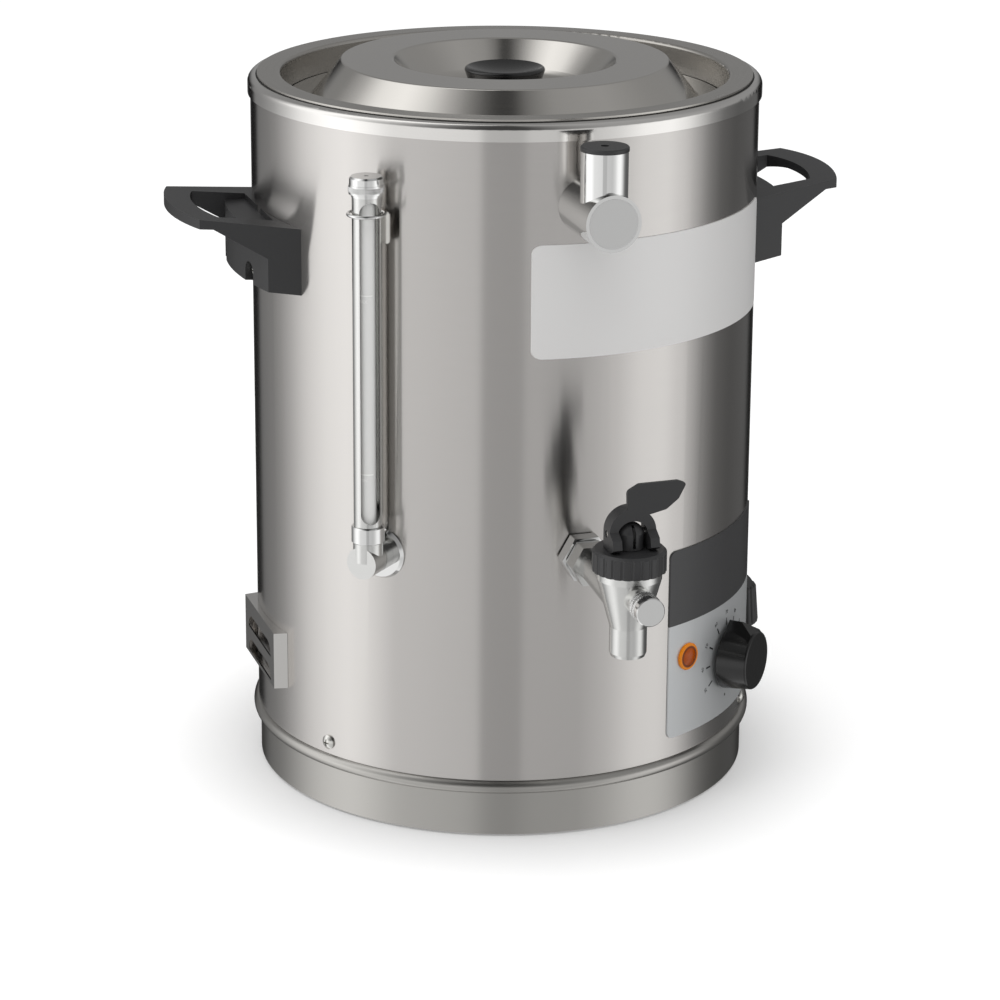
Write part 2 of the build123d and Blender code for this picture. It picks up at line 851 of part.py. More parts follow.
def make_gauge_elbow():
    plane = outward(gauge_angle, 0, gauge_height)
    wall = body_radius + rosette_height + seat_gap
    end = body_radius + elbow_reach
    inside = body_radius - gauge_shank_inside
    elbow = rod(plane, elbow_radius, wall, end)
    elbow += rod(plane, gauge_shank_radius, inside, wall)
    column = column_plane(gauge_height)
    elbow += rod(column, riser_radius, 0, riser_height)
    elbow += rod(column, riser_neck_radius, 0, riser_height + riser_neck_height)
    groove = body_radius + elbow_groove_offset
    elbow -= tube(plane, elbow_radius + 1, elbow_radius - 0.4, groove - 0.4, groove + 0.4)
    elbow -= rod(plane, elbow_bore, inside, column_radius)
    elbow -= rod(column, elbow_bore, 0, riser_height + riser_neck_height)
    return elbow - rod(column, glass_radius + slip_gap, riser_height - 1, riser_height + riser_neck_height)


def make_gauge_nut():
    plane = outward(gauge_angle, 0, gauge_height)
    face = flat_inside(jacket_bore, gauge_nut_flats * 0.58)
    nut = hexagon(plane, gauge_nut_flats, face - 5, face)
    return nut - rod(plane, gauge_shank_radius + seat_gap, 0, body_radius)


def make_gauge_rosette():
    plane = outward(gauge_angle, body_radius, gauge_height)
    bore = gauge_shank_radius + slip_gap
    cup = lathe([(bore, -3), (rosette_radius, -3), (rosette_radius, 0.6),
                 (rosette_radius - 1.4, rosette_height), (bore, rosette_height)], plane)
    return cup - full_cylinder(body_radius + seat_gap)


def make_gauge_socket():
    neck = riser_neck_radius + seat_gap
    roof = riser_neck_height + 0.4
    return lathe([(neck, 0), (socket_radius - 0.5, 0), (socket_radius, 0.5),
                  (socket_radius, socket_height - 0.5), (socket_radius - 0.5, socket_height),
                  (glass_radius + slip_gap, socket_height), (glass_radius + slip_gap, roof),
                  (neck, roof)], column_plane(riser_top))


def glass_bottom():
    return riser_top - 1 + seat_gap


def glass_top():
    return shield_top + gauge_cap_depth - 1.5


def make_gauge_glass():
    return tube(column_plane(0), glass_radius, glass_radius - glass_wall, glass_bottom(), glass_top())


def make_gauge_shield():
    column = column_plane(0)
    low = socket_top + seat_gap
    shield = tube(column, shield_radius, shield_radius - shield_wall, low, shield_top)
    half = shield_radius * math.sin(math.radians(shield_slot_angle))
    length = shield_top - socket_top - 2 * shield_slot_margin
    middle = (socket_top + shield_top) / 2
    centre = column.origin
    slot_plane = Plane(origin=(centre.X, centre.Y, middle), x_dir=(1, 0, 0), z_dir=(0, -1, 0))
    outline = slot_plane * SlotOverall(length, 2 * half, rotation=90)
    return shield - extrude(outline, shield_radius + 1)


def make_gauge_cap():
    knurl_low = 1.7
    knurl_high = 6.9
    outline = [(gauge_cap_bore, seat_gap), (shield_radius + 0.4, seat_gap),
               (shield_radius + 0.4, knurl_low), (gauge_knurl_radius, knurl_low),
               (gauge_knurl_radius, knurl_high), (gauge_cap_radius, knurl_high),
               (gauge_cap_radius, gauge_cap_height - 1), (gauge_cap_radius - 1, gauge_cap_height),
               (1.2, gauge_cap_height), (1.2, gauge_cap_height - 0.8), (0, gauge_cap_height - 0.8),
               (0, gauge_cap_depth), (gauge_cap_bore, gauge_cap_depth)]
    return lathe(outline, column_plane(shield_top))


def make_gauge_seals():
    column = column_plane(0)
    inner = glass_radius + seat_gap
    lower = tube(column, riser_neck_radius, inner, riser_top + riser_neck_height, riser_top
                 + riser_neck_height + 0.35)
    upper = tube(column, gauge_cap_bore - 2 * running_gap, inner, shield_top + 0.8, shield_top + 3.8)
    return Compound([lower, upper])


def make_gauge_clip():
    ring = column_plane(clip_height).location * Torus(clip_mean_radius, clip_wire_radius)
    return ring


def make_gauge_bracket():
    back = column_radius - shield_radius - slip_gap - bracket_wall
    plane = outward(gauge_angle, 0, bracket_middle())
    plate = plane * RectangleRounded(2 * bracket_half, bracket_height, 2)
    bracket = extrude(plate, back + bracket_wall)
    bracket -= rod(plane, 2 * bracket_half + bracket_height, 0, back)
    bracket += rod(plane, bracket_post_radius, body_radius - 3, back)
    bracket -= full_cylinder(body_radius + seat_gap)
    ring = column_plane(clip_height).location * Torus(clip_mean_radius, clip_wire_radius + seat_gap)
    notch = column_plane(clip_height).location * tube(
        Plane.XY, clip_mean_radius + clip_wire_radius + seat_gap,
        clip_mean_radius - clip_wire_radius - seat_gap, 0, 5)
    bracket -= ring + notch
    return bracket


def make_gauge_bracket_screw():
    plane = outward(gauge_angle, 0, bracket_middle())
    face = flat_inside(jacket_bore, screw_nut_flats / 2 + 0.6)
    shank = rod(plane, screw_radius, face - screw_nut_height - screw_spare, body_radius - slip_gap)
    nut = hexagon(plane, screw_nut_flats, face - screw_nut_height, face)
    return Compound([shank, nut - rod(plane, screw_radius + seat_gap, 0, body_radius)])


# Tap
def nut_face_radius():
    return body_radius + shank_seal_height


def hex_face_radius():
    return nut_face_radius() + lock_nut_height + plug_ring


def shank_end_radius():
    return pot_radius - shank_seal_height - inner_nut_height - shank_tail


def make_tap_body():
    plane = outward(0, 0, tap_height)
    hex_start = hex_face_radius()
    hex_end = hex_start + tap_hex_height
    body = rod(plane, shank_radius, shank_end_radius(), hex_start)
    body += hexagon(plane, tap_hex_flats, hex_start, hex_end)
    neck = tap_radius - hex_end
    cone = Cone(tap_neck_radius, tap_neck_end_radius, neck, align=(Align.CENTER, Align.CENTER, Align.MIN))
    body += plane.location * (Pos(0, 0, hex_end) * cone)
    upright = standing(0, tap_radius, tap_height)
    rim_low = tap_top_rise - tap_rim_height
    body += lathe([(0, -nozzle_drop), (nozzle_radius - 0.8, -nozzle_drop),
                   (nozzle_radius, -nozzle_drop + nozzle_lip), (nozzle_radius, -nozzle_taper_drop),
                   (tap_top_radius, rim_low), (tap_top_radius, tap_top_rise), (0, tap_top_rise)], upright)
    plug = outward(0, tap_radius, tap_height + plug_rise)
    body += rod(plug, plug_boss_radius, 0, plug_boss_reach)
    body -= lathe([(0, -nozzle_drop - 1), (nozzle_bore, -nozzle_drop - 1),
                   (nozzle_bore, -seat_drop - seat_land), (seat_bore, -seat_drop - seat_land),
                   (seat_bore, -seat_drop), (chamber_seat_radius, -seat_drop),
                   (chamber_radius, -seat_drop + chamber_cone_rise), (chamber_radius, tap_top_rise + 1),
                   (0, tap_top_rise + 1)], upright)
    body -= rod(plug, plug_bore, 0, plug_boss_reach + 1)
    return body - rod(plane, shank_bore, shank_end_radius() - 1, tap_radius)


def make_lock_nut_outer():
    plane = outward(0, 0, tap_height)
    start = nut_face_radius()
    nut = hexagon(plane, lock_nut_flats, start, start + lock_nut_height)
    nut &= lathe([(0, start), (lock_nut_flats, start), (lock_nut_flats, start + lock_nut_height * 0.55),
                  (lock_nut_flats / 2, start + lock_nut_height), (0, start + lock_nut_height)], plane)
    return nut - rod(plane, shank_radius + seat_gap, 0, tap_radius)


def make_lock_nut_inner():
    plane = outward(0, 0, tap_height)
    face = pot_radius - shank_seal_height
    nut = hexagon(plane, lock_nut_flats, face - inner_nut_height, face)
    return nut - rod(plane, shank_radius + seat_gap, 0, tap_radius)


def make_shank_seals():
    plane = outward(0, 0, tap_height)
    bore = shank_radius + seat_gap
    outer = tube(plane, shank_seal_radius, bore, body_radius - 4, nut_face_radius())
    outer -= full_cylinder(body_radius + seat_gap)
    washer = tube(plane, shank_seal_radius - 0.8, bore, nut_face_radius() + lock_nut_height, hex_face_radius())
    inner = tube(plane, shank_seal_radius, bore, pot_radius - shank_seal_height, pot_radius + 3)
    inner &= full_cylinder(pot_radius - seat_gap)
    return Compound([outer, washer, inner])


def make_cleaning_plug():
    plane = outward(0, tap_radius, tap_height + plug_rise)
    start = plug_boss_reach + plug_ring
    plug = rod(plane, plug_bore - running_gap, plug_boss_reach - 8, start)
    head = lathe([(0, 0), (plug_knurl_radius - 0.5, 0), (plug_knurl_radius, 0.5),
                  (plug_knurl_radius, plug_head - 0.5), (plug_knurl_radius - 0.5, plug_head),
                  (0, plug_head)], outward(0, tap_radius + start, tap_height + plug_rise))
    return plug + head


def make_plug_ring():
    plane = outward(0, tap_radius, tap_height + plug_rise)
    return tube(plane, plug_boss_radius - 0.9, plug_bore + seat_gap, plug_boss_reach,
                plug_boss_reach + plug_ring - seat_gap)


def upright_plane(height):
    return standing(0, tap_radius, height)


def make_tap_bonnet():
    low = tap_top + bonnet_gap
    hole = stem_radius + running_gap
    spigot = chamber_radius - running_gap
    bonnet = lathe([(hole, -bonnet_spigot - bonnet_gap), (spigot, -bonnet_spigot - bonnet_gap), (spigot, 0),
                    (bonnet_radius, 0), (bonnet_radius, bonnet_height - bonnet_chamfer),
                    (bonnet_radius - bonnet_chamfer, bonnet_height), (hole, bonnet_height)],
                   upright_plane(low))
    for n in range(bonnet_flutes):
        turn = 2 * math.pi * n / bonnet_flutes
        out = bonnet_radius + bonnet_flute_radius * 0.6
        flute = Pos(out * math.cos(turn), -tap_radius + out * math.sin(turn), low - 1) * Cylinder(
            bonnet_flute_radius, bonnet_height + 2, align=(Align.CENTER, Align.CENTER, Align.MIN))
        bonnet -= flute
    return bonnet


def seal_bottom():
    return seat_height + seat_gap


def make_valve_seal():
    return lathe([(0, 0), (seal_radius - 1.5, 0), (seal_radius, 1.5), (seal_radius, seal_height),
                  (0, seal_height)], upright_plane(seal_bottom()))


def make_valve_stem():
    flange = seal_bottom() + seal_height
    stem = rod(upright_plane(0), stem_flange_radius, flange, flange + stem_flange_height)
    stem += rod(upright_plane(0), stem_radius, flange, pivot_height + stem_rise)
    across = Plane(origin=(0, -tap_radius, pivot_height), x_dir=(0, 1, 0), z_dir=(1, 0, 0))
    return stem - rod(across, pin_radius + seat_gap, -hub_radius, hub_radius)


def make_tap_spring():
    low = seal_bottom() + seal_height + stem_flange_height + spring_wire + seat_gap
    high = tap_top - bonnet_spigot - spring_wire - seat_gap
    coil = Helix(pitch=(high - low) / spring_turns, height=high - low, radius=spring_mean_radius)
    wire = Plane(origin=coil @ 0, z_dir=coil % 0) * Circle(spring_wire)
    return upright_plane(low).location * sweep(wire, path=coil)


def make_stem_head():
    base = bonnet_top + moving_gap
    dome_base = pivot_height
    top = dome_base + hub_dome
    outline = Wire([
        Line((0, base), (hub_radius, base)),
        Line((hub_radius, base), (hub_radius, dome_base)),
        dome_arc(hub_radius, dome_base, top),
        Line((0, top), (0, base)),
    ])
    head = turned(outline, upright_plane(0))
    head -= rod(upright_plane(0), stem_radius + seat_gap, base - 1, pivot_height + stem_rise + slip_gap)
    front = Plane(origin=(0, -tap_radius, (base + top) / 2), x_dir=(1, 0, 0), z_dir=(0, -1, 0))
    head -= block(front, hub_slot, top - base - 2, 0, 2 * hub_radius)
    across = Plane(origin=(0, -tap_radius, pivot_height), x_dir=(0, 1, 0), z_dir=(1, 0, 0))
    return head - rod(across, pin_radius + seat_gap, -20, 20)


def leg_outer():
    return hub_radius + leg_gap + leg_width


def make_lever_pin():
    across = Plane(origin=(0, -tap_radius, pivot_height), x_dir=(0, 1, 0), z_dir=(1, 0, 0))
    return rod(across, pin_radius, -leg_outer() + 0.5, leg_outer() - 0.5)


def cam_point(turn):
    # Point of the foot that touches the bonnet when the lever has turned this far
    reach = cam_rest + cam_growth * turn
    across = -reach * math.sin(turn) - cam_growth * math.cos(turn)
    height = -reach * math.cos(turn) + cam_growth * math.sin(turn)
    return (across, height)


def lever_side():
    # Side view about the pivot: (distance behind the pivot, height above it)
    sweep_end = math.radians(cam_sweep)
    foot = [cam_point(sweep_end * n / 4) for n in range(5)]
    toe_x, toe_z = foot[-1]
    crown = arch_clear + 7
    return make_face(Wire([
        Line((leg_half_depth, -cam_rest), foot[0]),
        Spline(*foot),
        Line(foot[-1], (toe_x + 1.2, toe_z + 5)),
        Line((toe_x + 1.2, toe_z + 5), (-leg_half_depth, 2)),
        Line((-leg_half_depth, 2), (-leg_half_depth, crown)),
        Line((-leg_half_depth, crown), (leg_half_depth, crown)),
        Line((leg_half_depth, crown), (leg_half_depth, -cam_rest)),
    ]))


def lever_front():
    # Front view: an arch with parallel legs
    outer = leg_outer()
    spring_line = arch_clear + 7 - outer
    inner = hub_radius + leg_gap
    inner_line = arch_clear - 5
    foot = -cam_rest - 1
    shell = make_face(Wire([
        Line((-outer, foot), (outer, foot)), Line((outer, foot), (outer, spring_line)),
        ThreePointArc((outer, spring_line), (0, spring_line + outer), (-outer, spring_line)),
        Line((-outer, spring_line), (-outer, foot))]))
    gap = make_face(Wire([
        Line((-inner, foot - 1), (inner, foot - 1)), Line((inner, foot - 1), (inner, inner_line)),
        ThreePointArc((inner, inner_line), (0, arch_clear), (-inner, inner_line)),
        Line((-inner, inner_line), (-inner, foot - 1))]))
    return shell - gap


def wing_outline():
    low = arch_clear + 3.6
    top = wing_rise
    span = wing_span
    return make_face(FilletPolyline(
        (-3.2, low), (-3.7, top - 3.7), (3.0, top), (span - 5, top + 0.2), (span, top - 1.8),
        (span - 4.3, low + 7.2), (span - 11.3, low + 1.6), (10, low - 0.5),
        radius=[1, 3, 3, 3, 1.5, 3, 4, 1], close=True))


def make_tap_lever():
    front = Plane(origin=(0, -tap_radius, pivot_height), x_dir=(1, 0, 0), z_dir=(0, -1, 0))
    side = Plane(origin=(0, -tap_radius, pivot_height), x_dir=(0, 1, 0), z_dir=(1, 0, 0))
    arch = extrude(front * lever_front(), 20, both=True)
    lever = arch & extrude(side * lever_side(), leg_outer(), both=True)
    wing = extrude(front * wing_outline(), leg_half_depth) - extrude(
        front * wing_outline(), leg_half_depth - wing_wall)
    lever += wing
    return lever - rod(side, pin_radius + running_gap, -20, 20)


# Control panel
def make_control_panel():
    panel = wrapped_plate(panel_angle, panel_half_width, panel_bottom, panel_top, panel_corner,
                          body_radius + seat_gap, panel_wall)
    panel -= rod(outward(panel_angle, 0, dial_height), dial_bush_radius + slip_gap, 1, 2 * body_radius)
    return panel - rod(outward(lamp_angle, 0, lamp_height), lamp_body_radius + slip_gap, 1, 2 * body_radius)


def panel_face():
    return body_radius + seat_gap + panel_wall


def pointer_nose(plane):
    # Two flats from the round knob to a rounded tip at the top, sloping off towards the front
    tip = dial_nose_reach - dial_nose_tip
    lean = math.acos((dial_knob_front - dial_nose_tip) / tip)
    side = (math.sin(lean), math.cos(lean))
    foot = (dial_knob_front * side[0], dial_knob_front * side[1])
    edge = (dial_nose_tip * side[0], tip + dial_nose_tip * side[1])
    plan = make_face(Wire([
        Line((0, 0), foot), Line(foot, edge),
        ThreePointArc(edge, (0, dial_nose_reach), (-edge[0], edge[1])),
        Line((-edge[0], edge[1]), (-foot[0], foot[1])), Line((-foot[0], foot[1]), (0, 0)),
    ]))
    profile = make_face(Polyline(
        (0, 0), (dial_nose_reach, 0), (dial_nose_reach, dial_nose_flat),
        (dial_knob_front, dial_knob_depth - dial_knob_round), (0, dial_knob_depth - dial_knob_round),
        close=True))
    across = extrude(Plane.YZ * profile, dial_knob_back, both=True)
    return plane.location * (extrude(plan, dial_knob_depth) & across)


def make_thermostat_knob():
    plane = outward(panel_angle, panel_face() + dial_knob_gap, dial_height)
    depth = dial_knob_depth
    front = dial_knob_front
    turn = dial_knob_round
    bow = turn * (1 - math.sqrt(0.5))
    outline = Wire([
        Line((0, 0), (dial_knob_back, 0)),
        Line((dial_knob_back, 0), (front, depth - turn)),
        ThreePointArc((front, depth - turn), (front - bow, depth - bow), (front - turn, depth)),
        Line((front - turn, depth), (0, depth)),
        Line((0, depth), (0, 0)),
    ])
    roof = depth - dial_hub_roof
    inner_back = dial_knob_back - dial_knob_wall
    inner_front = front - dial_knob_wall
    hub = dial_shaft_radius + dial_hub_wall
    hollow = lathe([(hub, -1), (inner_back, -1), (inner_back, 0), (inner_front, roof), (hub, roof)], plane)
    knob = turned(outline, plane) + pointer_nose(plane)
    return knob - hollow - rod(plane, dial_shaft_radius + running_gap, -1, roof)


def make_thermostat_shaft():
    plane = outward(panel_angle, panel_face() + dial_knob_gap, dial_height)
    inner = jacket_bore - thermostat_depth * 0.4 - panel_face() - dial_knob_gap
    return rod(plane, dial_shaft_radius, inner, dial_knob_depth - dial_hub_roof - seat_gap)


def make_thermostat_body():
    plane = outward(panel_angle, 0, dial_height)
    face = flat_inside(jacket_bore, thermostat_width / 2)
    body = block(plane, thermostat_width, thermostat_width, face - thermostat_depth, face)
    body += rod(plane, dial_bush_radius, face, panel_face() + 1.6)
    tab = block(plane, 6.3, 0.8, face - thermostat_depth - 8, face - thermostat_depth)
    for shift in (-12, 12):
        body += Pos(0, 0, shift) * tab
    return body - rod(plane, dial_shaft_radius + running_gap, jacket_bore - thermostat_depth * 0.4 - slip_gap,
                      2 * body_radius)


def make_thermostat_nut():
    plane = outward(panel_angle, 0, dial_height)
    nut = hexagon(plane, 14, panel_face() + seat_gap, panel_face() + 1.6)
    return nut - rod(plane, dial_bush_radius + seat_gap, 0, 2 * body_radius)


def make_pilot_lens():
    plane = outward(lamp_angle, panel_face(), lamp_height)
    flange = lamp_flange
    outline = Wire([
        Line((0, -1), (lamp_flange_radius, -1)),
        Line((lamp_flange_radius, -1), (lamp_flange_radius, flange - 0.6)),
        Line((lamp_flange_radius, flange - 0.6), (lamp_flange_radius - 0.6, flange)),
        Line((lamp_flange_radius - 0.6, flange), (lamp_dome_radius, flange)),
        dome_arc(lamp_dome_radius, flange, flange + lamp_dome),
        Line((0, flange + lamp_dome), (0, -1)),
    ])
    return turned(outline, plane) - full_cylinder(panel_face() + seat_gap)


def make_lamp_body():
    plane = outward(lamp_angle, 0, lamp_height)
    end = panel_face() - 2 * seat_gap
    body = rod(plane, lamp_body_radius, end - lamp_body_length, end)
    clip = tube(plane, lamp_body_radius + 2, lamp_body_radius + seat_gap,
                jacket_bore - slip_gap - 2.5, jacket_bore - slip_gap)
    for shift in (-2.2, 2.2):
        body += block(outward(lamp_angle, 0, lamp_height + shift), 2.8, 0.8,
                      end - lamp_body_length - 7, end - lamp_body_length)
    return Compound([body, clip])


# Plates and covers
def make_info_plate():
    return wrapped_plate(info_angle, info_half_width, info_bottom, info_top, info_corner,
                         body_radius + seat_gap, info_wall)


def vent_prism(shrink):
    face = body_radius + vent_stand - shrink
    half = vent_half_width - shrink
    wide = half + vent_flare * 2
    back = body_radius - vent_inset
    plan = make_face(Polyline((back, -wide), (face, -half), (face, half), (back, wide), close=True))
    return Pos(0, 0, vent_bottom + shrink) * extrude(plan, vent_height - 2 * shrink)


def louvre_form(lip, grow):
    # Pressed hood that swells from the face down to its open lower edge, round at both ends
    face = body_radius + vent_stand
    radius = (louvre_height ** 2 / louvre_push + louvre_push) / 2
    centre = face + louvre_push - radius
    straight = louvre_half_width - louvre_height
    bar = Rot(90, 0, 0) * Cylinder(radius + grow, 2 * straight)
    form = bar + Pos(0, -straight, 0) * Sphere(radius + grow) + Pos(0, straight, 0) * Sphere(radius + grow)
    outside = Box(vent_stand * 4, 2 * vent_half_width, 2 * louvre_height,
                  align=(Align.MIN, Align.CENTER, Align.MIN))
    return (Pos(centre, 0, lip) * form) & (Pos(face - vent_wall, 0, lip) * outside)


def make_vent_cover(angle):
    cover = vent_prism(0) - vent_prism(vent_wall) - full_cylinder(body_radius + seat_gap)
    for lip in louvre_lips():
        cover += louvre_form(lip, 0)
        cover -= louvre_form(lip, -vent_wall)
    return Rot(0, 0, angle - 90) * cover


def hood_rib(turn):
    # Round-ended rib that lies along the cone, from the foot to the shoulder
    sink = hood_rib_radius - hood_rib_stand
    foot = Vector(hood_foot_radius - sink, 0, hood_bottom + hood_rib_radius)
    top = Vector(hood_shoulder_radius - sink, 0, hood_bottom + hood_cone_height)
    rib = rod(Plane(origin=foot, z_dir=top - foot), hood_rib_radius, 0, (top - foot).length)
    rib += Pos(foot) * Sphere(hood_rib_radius)
    rib += Pos(top) * Sphere(hood_rib_radius)
    return Rot(0, 0, turn) * rib


def make_side_hood():
    # Ribbed half cone with a domed top and a stem below, held by a shank and a nut
    axis = standing(hood_angle, body_radius + hood_offset, 0)
    shoulder = hood_bottom + hood_cone_height
    form = turned(Wire([
        Line((0, hood_bottom), (hood_foot_radius, hood_bottom)),
        Line((hood_foot_radius, hood_bottom), (hood_shoulder_radius, shoulder)),
        dome_arc(hood_shoulder_radius, shoulder, shoulder + hood_dome),
        Line((0, shoulder + hood_dome), (0, hood_bottom)),
    ]))
    for n in range(hood_ribs):
        form += hood_rib(hood_rib_pitch * (n - (hood_ribs - 1) / 2) - 90)
    hood = axis.location * form
    stem_axis = standing(hood_angle, body_radius + hood_stem_offset, 0)
    hood += rod(stem_axis, hood_stem_radius, hood_bottom - hood_stem_drop, shoulder)
    hood -= full_cylinder(body_radius + seat_gap)
    inside = flat_inside(jacket_bore, hood_nut_flats * 0.58)
    nut_end = inside - hood_nut_height
    shank = hood_shank_plane()
    hood += rod(shank, hood_shank_radius, nut_end - hood_shank_tail, body_radius + hood_offset)
    nut = hexagon(shank, hood_nut_flats, nut_end, inside)
    nut -= rod(shank, hood_shank_radius + seat_gap, 0, body_radius)
    return Compound([hood, nut])


def make_cable_gland():
    # The close bore holds the cord outside the jacket; the wide one lets it in
    plane = outward(180, 0, cord_gland_height)
    inside = flat_inside(jacket_bore, cord_gland_flats * 0.58)
    step = body_radius + 2
    hex_end = step + 4
    neck_end = hex_end + 1
    end = body_radius + cord_gland_reach
    body = rod(plane, cord_gland_radius, inside - cord_gland_tail, step)
    body += hexagon(plane, cord_gland_flats, body_radius + 2 * slip_gap, hex_end)
    body += rod(plane, cord_gland_radius - 0.5, hex_end, neck_end)
    body += plane.location * (Pos(0, 0, neck_end) * Cone(
        cord_gland_radius + 0.6, cord_gland_bore + 2, end - neck_end,
        align=(Align.CENTER, Align.CENTER, Align.MIN)))
    body -= rod(plane, cord_gland_bore, 0, 2 * body_radius)
    body -= rod(plane, cord_gland_inner_bore, 0, step)
    nut = hexagon(plane, cord_gland_flats, inside - 6, inside)
    nut -= rod(plane, cord_gland_radius + seat_gap, 0, body_radius)
    return Compound([body, nut])


pieces = {
    "outer_jacket": make_outer_jacket(),
    "base_ring": make_base_ring(),
    "base_plate": make_base_plate(),
    "rubber_feet": make_feet(),
    "base_screws": make_base_screws(),
    "top_collar": make_top_collar(),
    "pot_gasket": make_pot_gasket(),
    "pot_neck": make_pot_neck(),
    "inner_pot": make_inner_pot(),
    "pot_base": make_pot_base(),
    "vessel_floor": make_vessel_floor(),
    "heating_element": make_heating_element(),
    "element_glands": make_element_glands(),
    "thermal_cutout": make_thermal_cutout(),
    "terminal_block": make_terminal_block(),
    "lid": make_lid(),
    "lid_knob": make_lid_knob(),
    "lid_knob_screw": make_lid_knob_screw(),
    "handle_left": make_handle(-90),
    "handle_right": make_handle(90),
    "handle_screws": make_handle_screws(),
    "filler_stub": make_filler_stub(),
    "filler_end_disc": make_filler_end_disc(),
    "filler_cap": make_filler_cap(),
    "gauge_elbow": make_gauge_elbow(),
    "gauge_lock_nut": make_gauge_nut(),
    "gauge_rosette": make_gauge_rosette(),
    "gauge_socket": make_gauge_socket(),
    "gauge_glass": make_gauge_glass(),
    "gauge_shield": make_gauge_shield(),
    "gauge_cap": make_gauge_cap(),
    "gauge_seals": make_gauge_seals(),
    "gauge_clip": make_gauge_clip(),
    "gauge_bracket": make_gauge_bracket(),
    "gauge_bracket_screw": make_gauge_bracket_screw(),
    "tap_body": make_tap_body(),
    "lock_nut_outer": make_lock_nut_outer(),
    "lock_nut_inner": make_lock_nut_inner(),
    "shank_seals": make_shank_seals(),
    "cleaning_plug": make_cleaning_plug(),
    "plug_ring": make_plug_ring(),
    "tap_bonnet": make_tap_bonnet(),
    "valve_seal": make_valve_seal(),
    "valve_stem": make_valve_stem(),
    "tap_spring": make_tap_spring(),
    "stem_head": make_stem_head(),
    "lever_pin": make_lever_pin(),
    "tap_lever": make_tap_lever(),
    "control_panel": make_control_panel(),
    "thermostat_knob": make_thermostat_knob(),
    "thermostat_shaft": make_thermostat_shaft(),
    "thermostat_body": make_thermostat_body(),
    "thermostat_nut": make_thermostat_nut(),
    "pilot_lens": make_pilot_lens(),
    "lamp_body": make_lamp_body(),
    "info_plate": make_info_plate(),
    "vent_cover_left": make_vent_cover(-90),
    "side_hood": make_side_hood(),
    "cable_gland": make_cable_gland(),
}

for name, piece in pieces.items():
    export_step(piece, "parts/" + name + ".step")
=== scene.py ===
import bpy
import bmesh
import math
from mathutils import Matrix, Vector


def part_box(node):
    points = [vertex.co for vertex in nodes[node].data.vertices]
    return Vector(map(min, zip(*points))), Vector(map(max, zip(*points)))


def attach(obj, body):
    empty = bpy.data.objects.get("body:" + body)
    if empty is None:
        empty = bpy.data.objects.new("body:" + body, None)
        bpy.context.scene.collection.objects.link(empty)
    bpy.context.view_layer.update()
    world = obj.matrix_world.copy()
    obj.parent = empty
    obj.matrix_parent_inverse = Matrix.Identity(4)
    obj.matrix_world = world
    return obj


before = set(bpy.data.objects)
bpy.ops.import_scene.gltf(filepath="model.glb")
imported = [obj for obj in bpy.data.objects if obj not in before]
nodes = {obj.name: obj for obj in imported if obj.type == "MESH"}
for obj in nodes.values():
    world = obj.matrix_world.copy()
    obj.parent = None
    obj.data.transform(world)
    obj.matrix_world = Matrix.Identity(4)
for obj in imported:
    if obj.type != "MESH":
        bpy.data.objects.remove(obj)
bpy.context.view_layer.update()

millimetre = 0.001

# The camera, at the eye of someone standing in front of the worktop
cameraSetup = {
    "distance": 1.9473,      # metres from the axis of the urn
    "height": 0.798,
    "azimuth": -17.62,       # degrees round the urn
    "yaw": 0.33,
    "tilt": 16.50,           # degrees down
    "roll": 0.30,
    "lens": 120.53,          # millimetres on a 36 mm sensor
    "rise": -0.1,            # shift that keeps the sides more upright
    "slide": 0.0159,
}


def radians(*angles):
    return [math.radians(angle) for angle in angles]


def rgb(code):
    # sRGB hex to the linear colour that the shader wants
    values = [int(code[i:i + 2], 16) / 255 for i in (1, 3, 5)]
    linear = [v / 12.92 if v <= 0.04045 else ((v + 0.055) / 1.055) ** 2.4 for v in values]
    return (*linear, 1.0)


def makeCamera(setup):
    turn, tilt, roll = radians(setup["azimuth"], setup["tilt"], setup["roll"])
    data = bpy.data.cameras.new("camera")
    data.lens = setup["lens"]
    data.shift_x = setup["slide"]
    data.shift_y = setup["rise"]
    data.sensor_width = 36.0
    data.clip_start = 0.05
    data.clip_end = 60.0
    camera = bpy.data.objects.new("camera", data)
    bpy.context.scene.collection.objects.link(camera)
    reach = setup["distance"]
    camera.location = (reach * math.sin(turn), -reach * math.cos(turn), setup["height"])
    yaw = math.radians(setup["yaw"])
    aim = Matrix.Rotation(turn + yaw, 4, "Z") @ Matrix.Rotation(math.pi / 2 - tilt, 4, "X")
    camera.rotation_euler = (aim @ Matrix.Rotation(roll, 4, "Z")).to_euler()
    bpy.context.scene.camera = camera


def addNode(tree, kind, settings=None, links=None):
    # One node: settings are attributes or input values, links are input: output socket
    node = tree.nodes.new(kind)
    for key, value in (settings or {}).items():
        if isinstance(key, str) and hasattr(node, key):
            setattr(node, key, value)
        else:
            node.inputs[key].default_value = value
    for key, socket in (links or {}).items():
        tree.links.new(socket, node.inputs[key])
    return node


def newMaterial(name, base, metallic=0.0, roughness=0.5, **shader):
    material = bpy.data.materials.new(name)
    material.use_nodes = True
    tree = material.node_tree
    surface = tree.nodes["Principled BSDF"]
    surface.inputs["Base Color"].default_value = rgb(base)
    surface.inputs["Metallic"].default_value = metallic
    surface.inputs["Roughness"].default_value = roughness
    for key, value in shader.items():
        surface.inputs[key.replace("_", " ")].default_value = value
    return material, tree, surface


def objectPlace(tree):
    return addNode(tree, "ShaderNodeTexCoord").outputs["Object"]


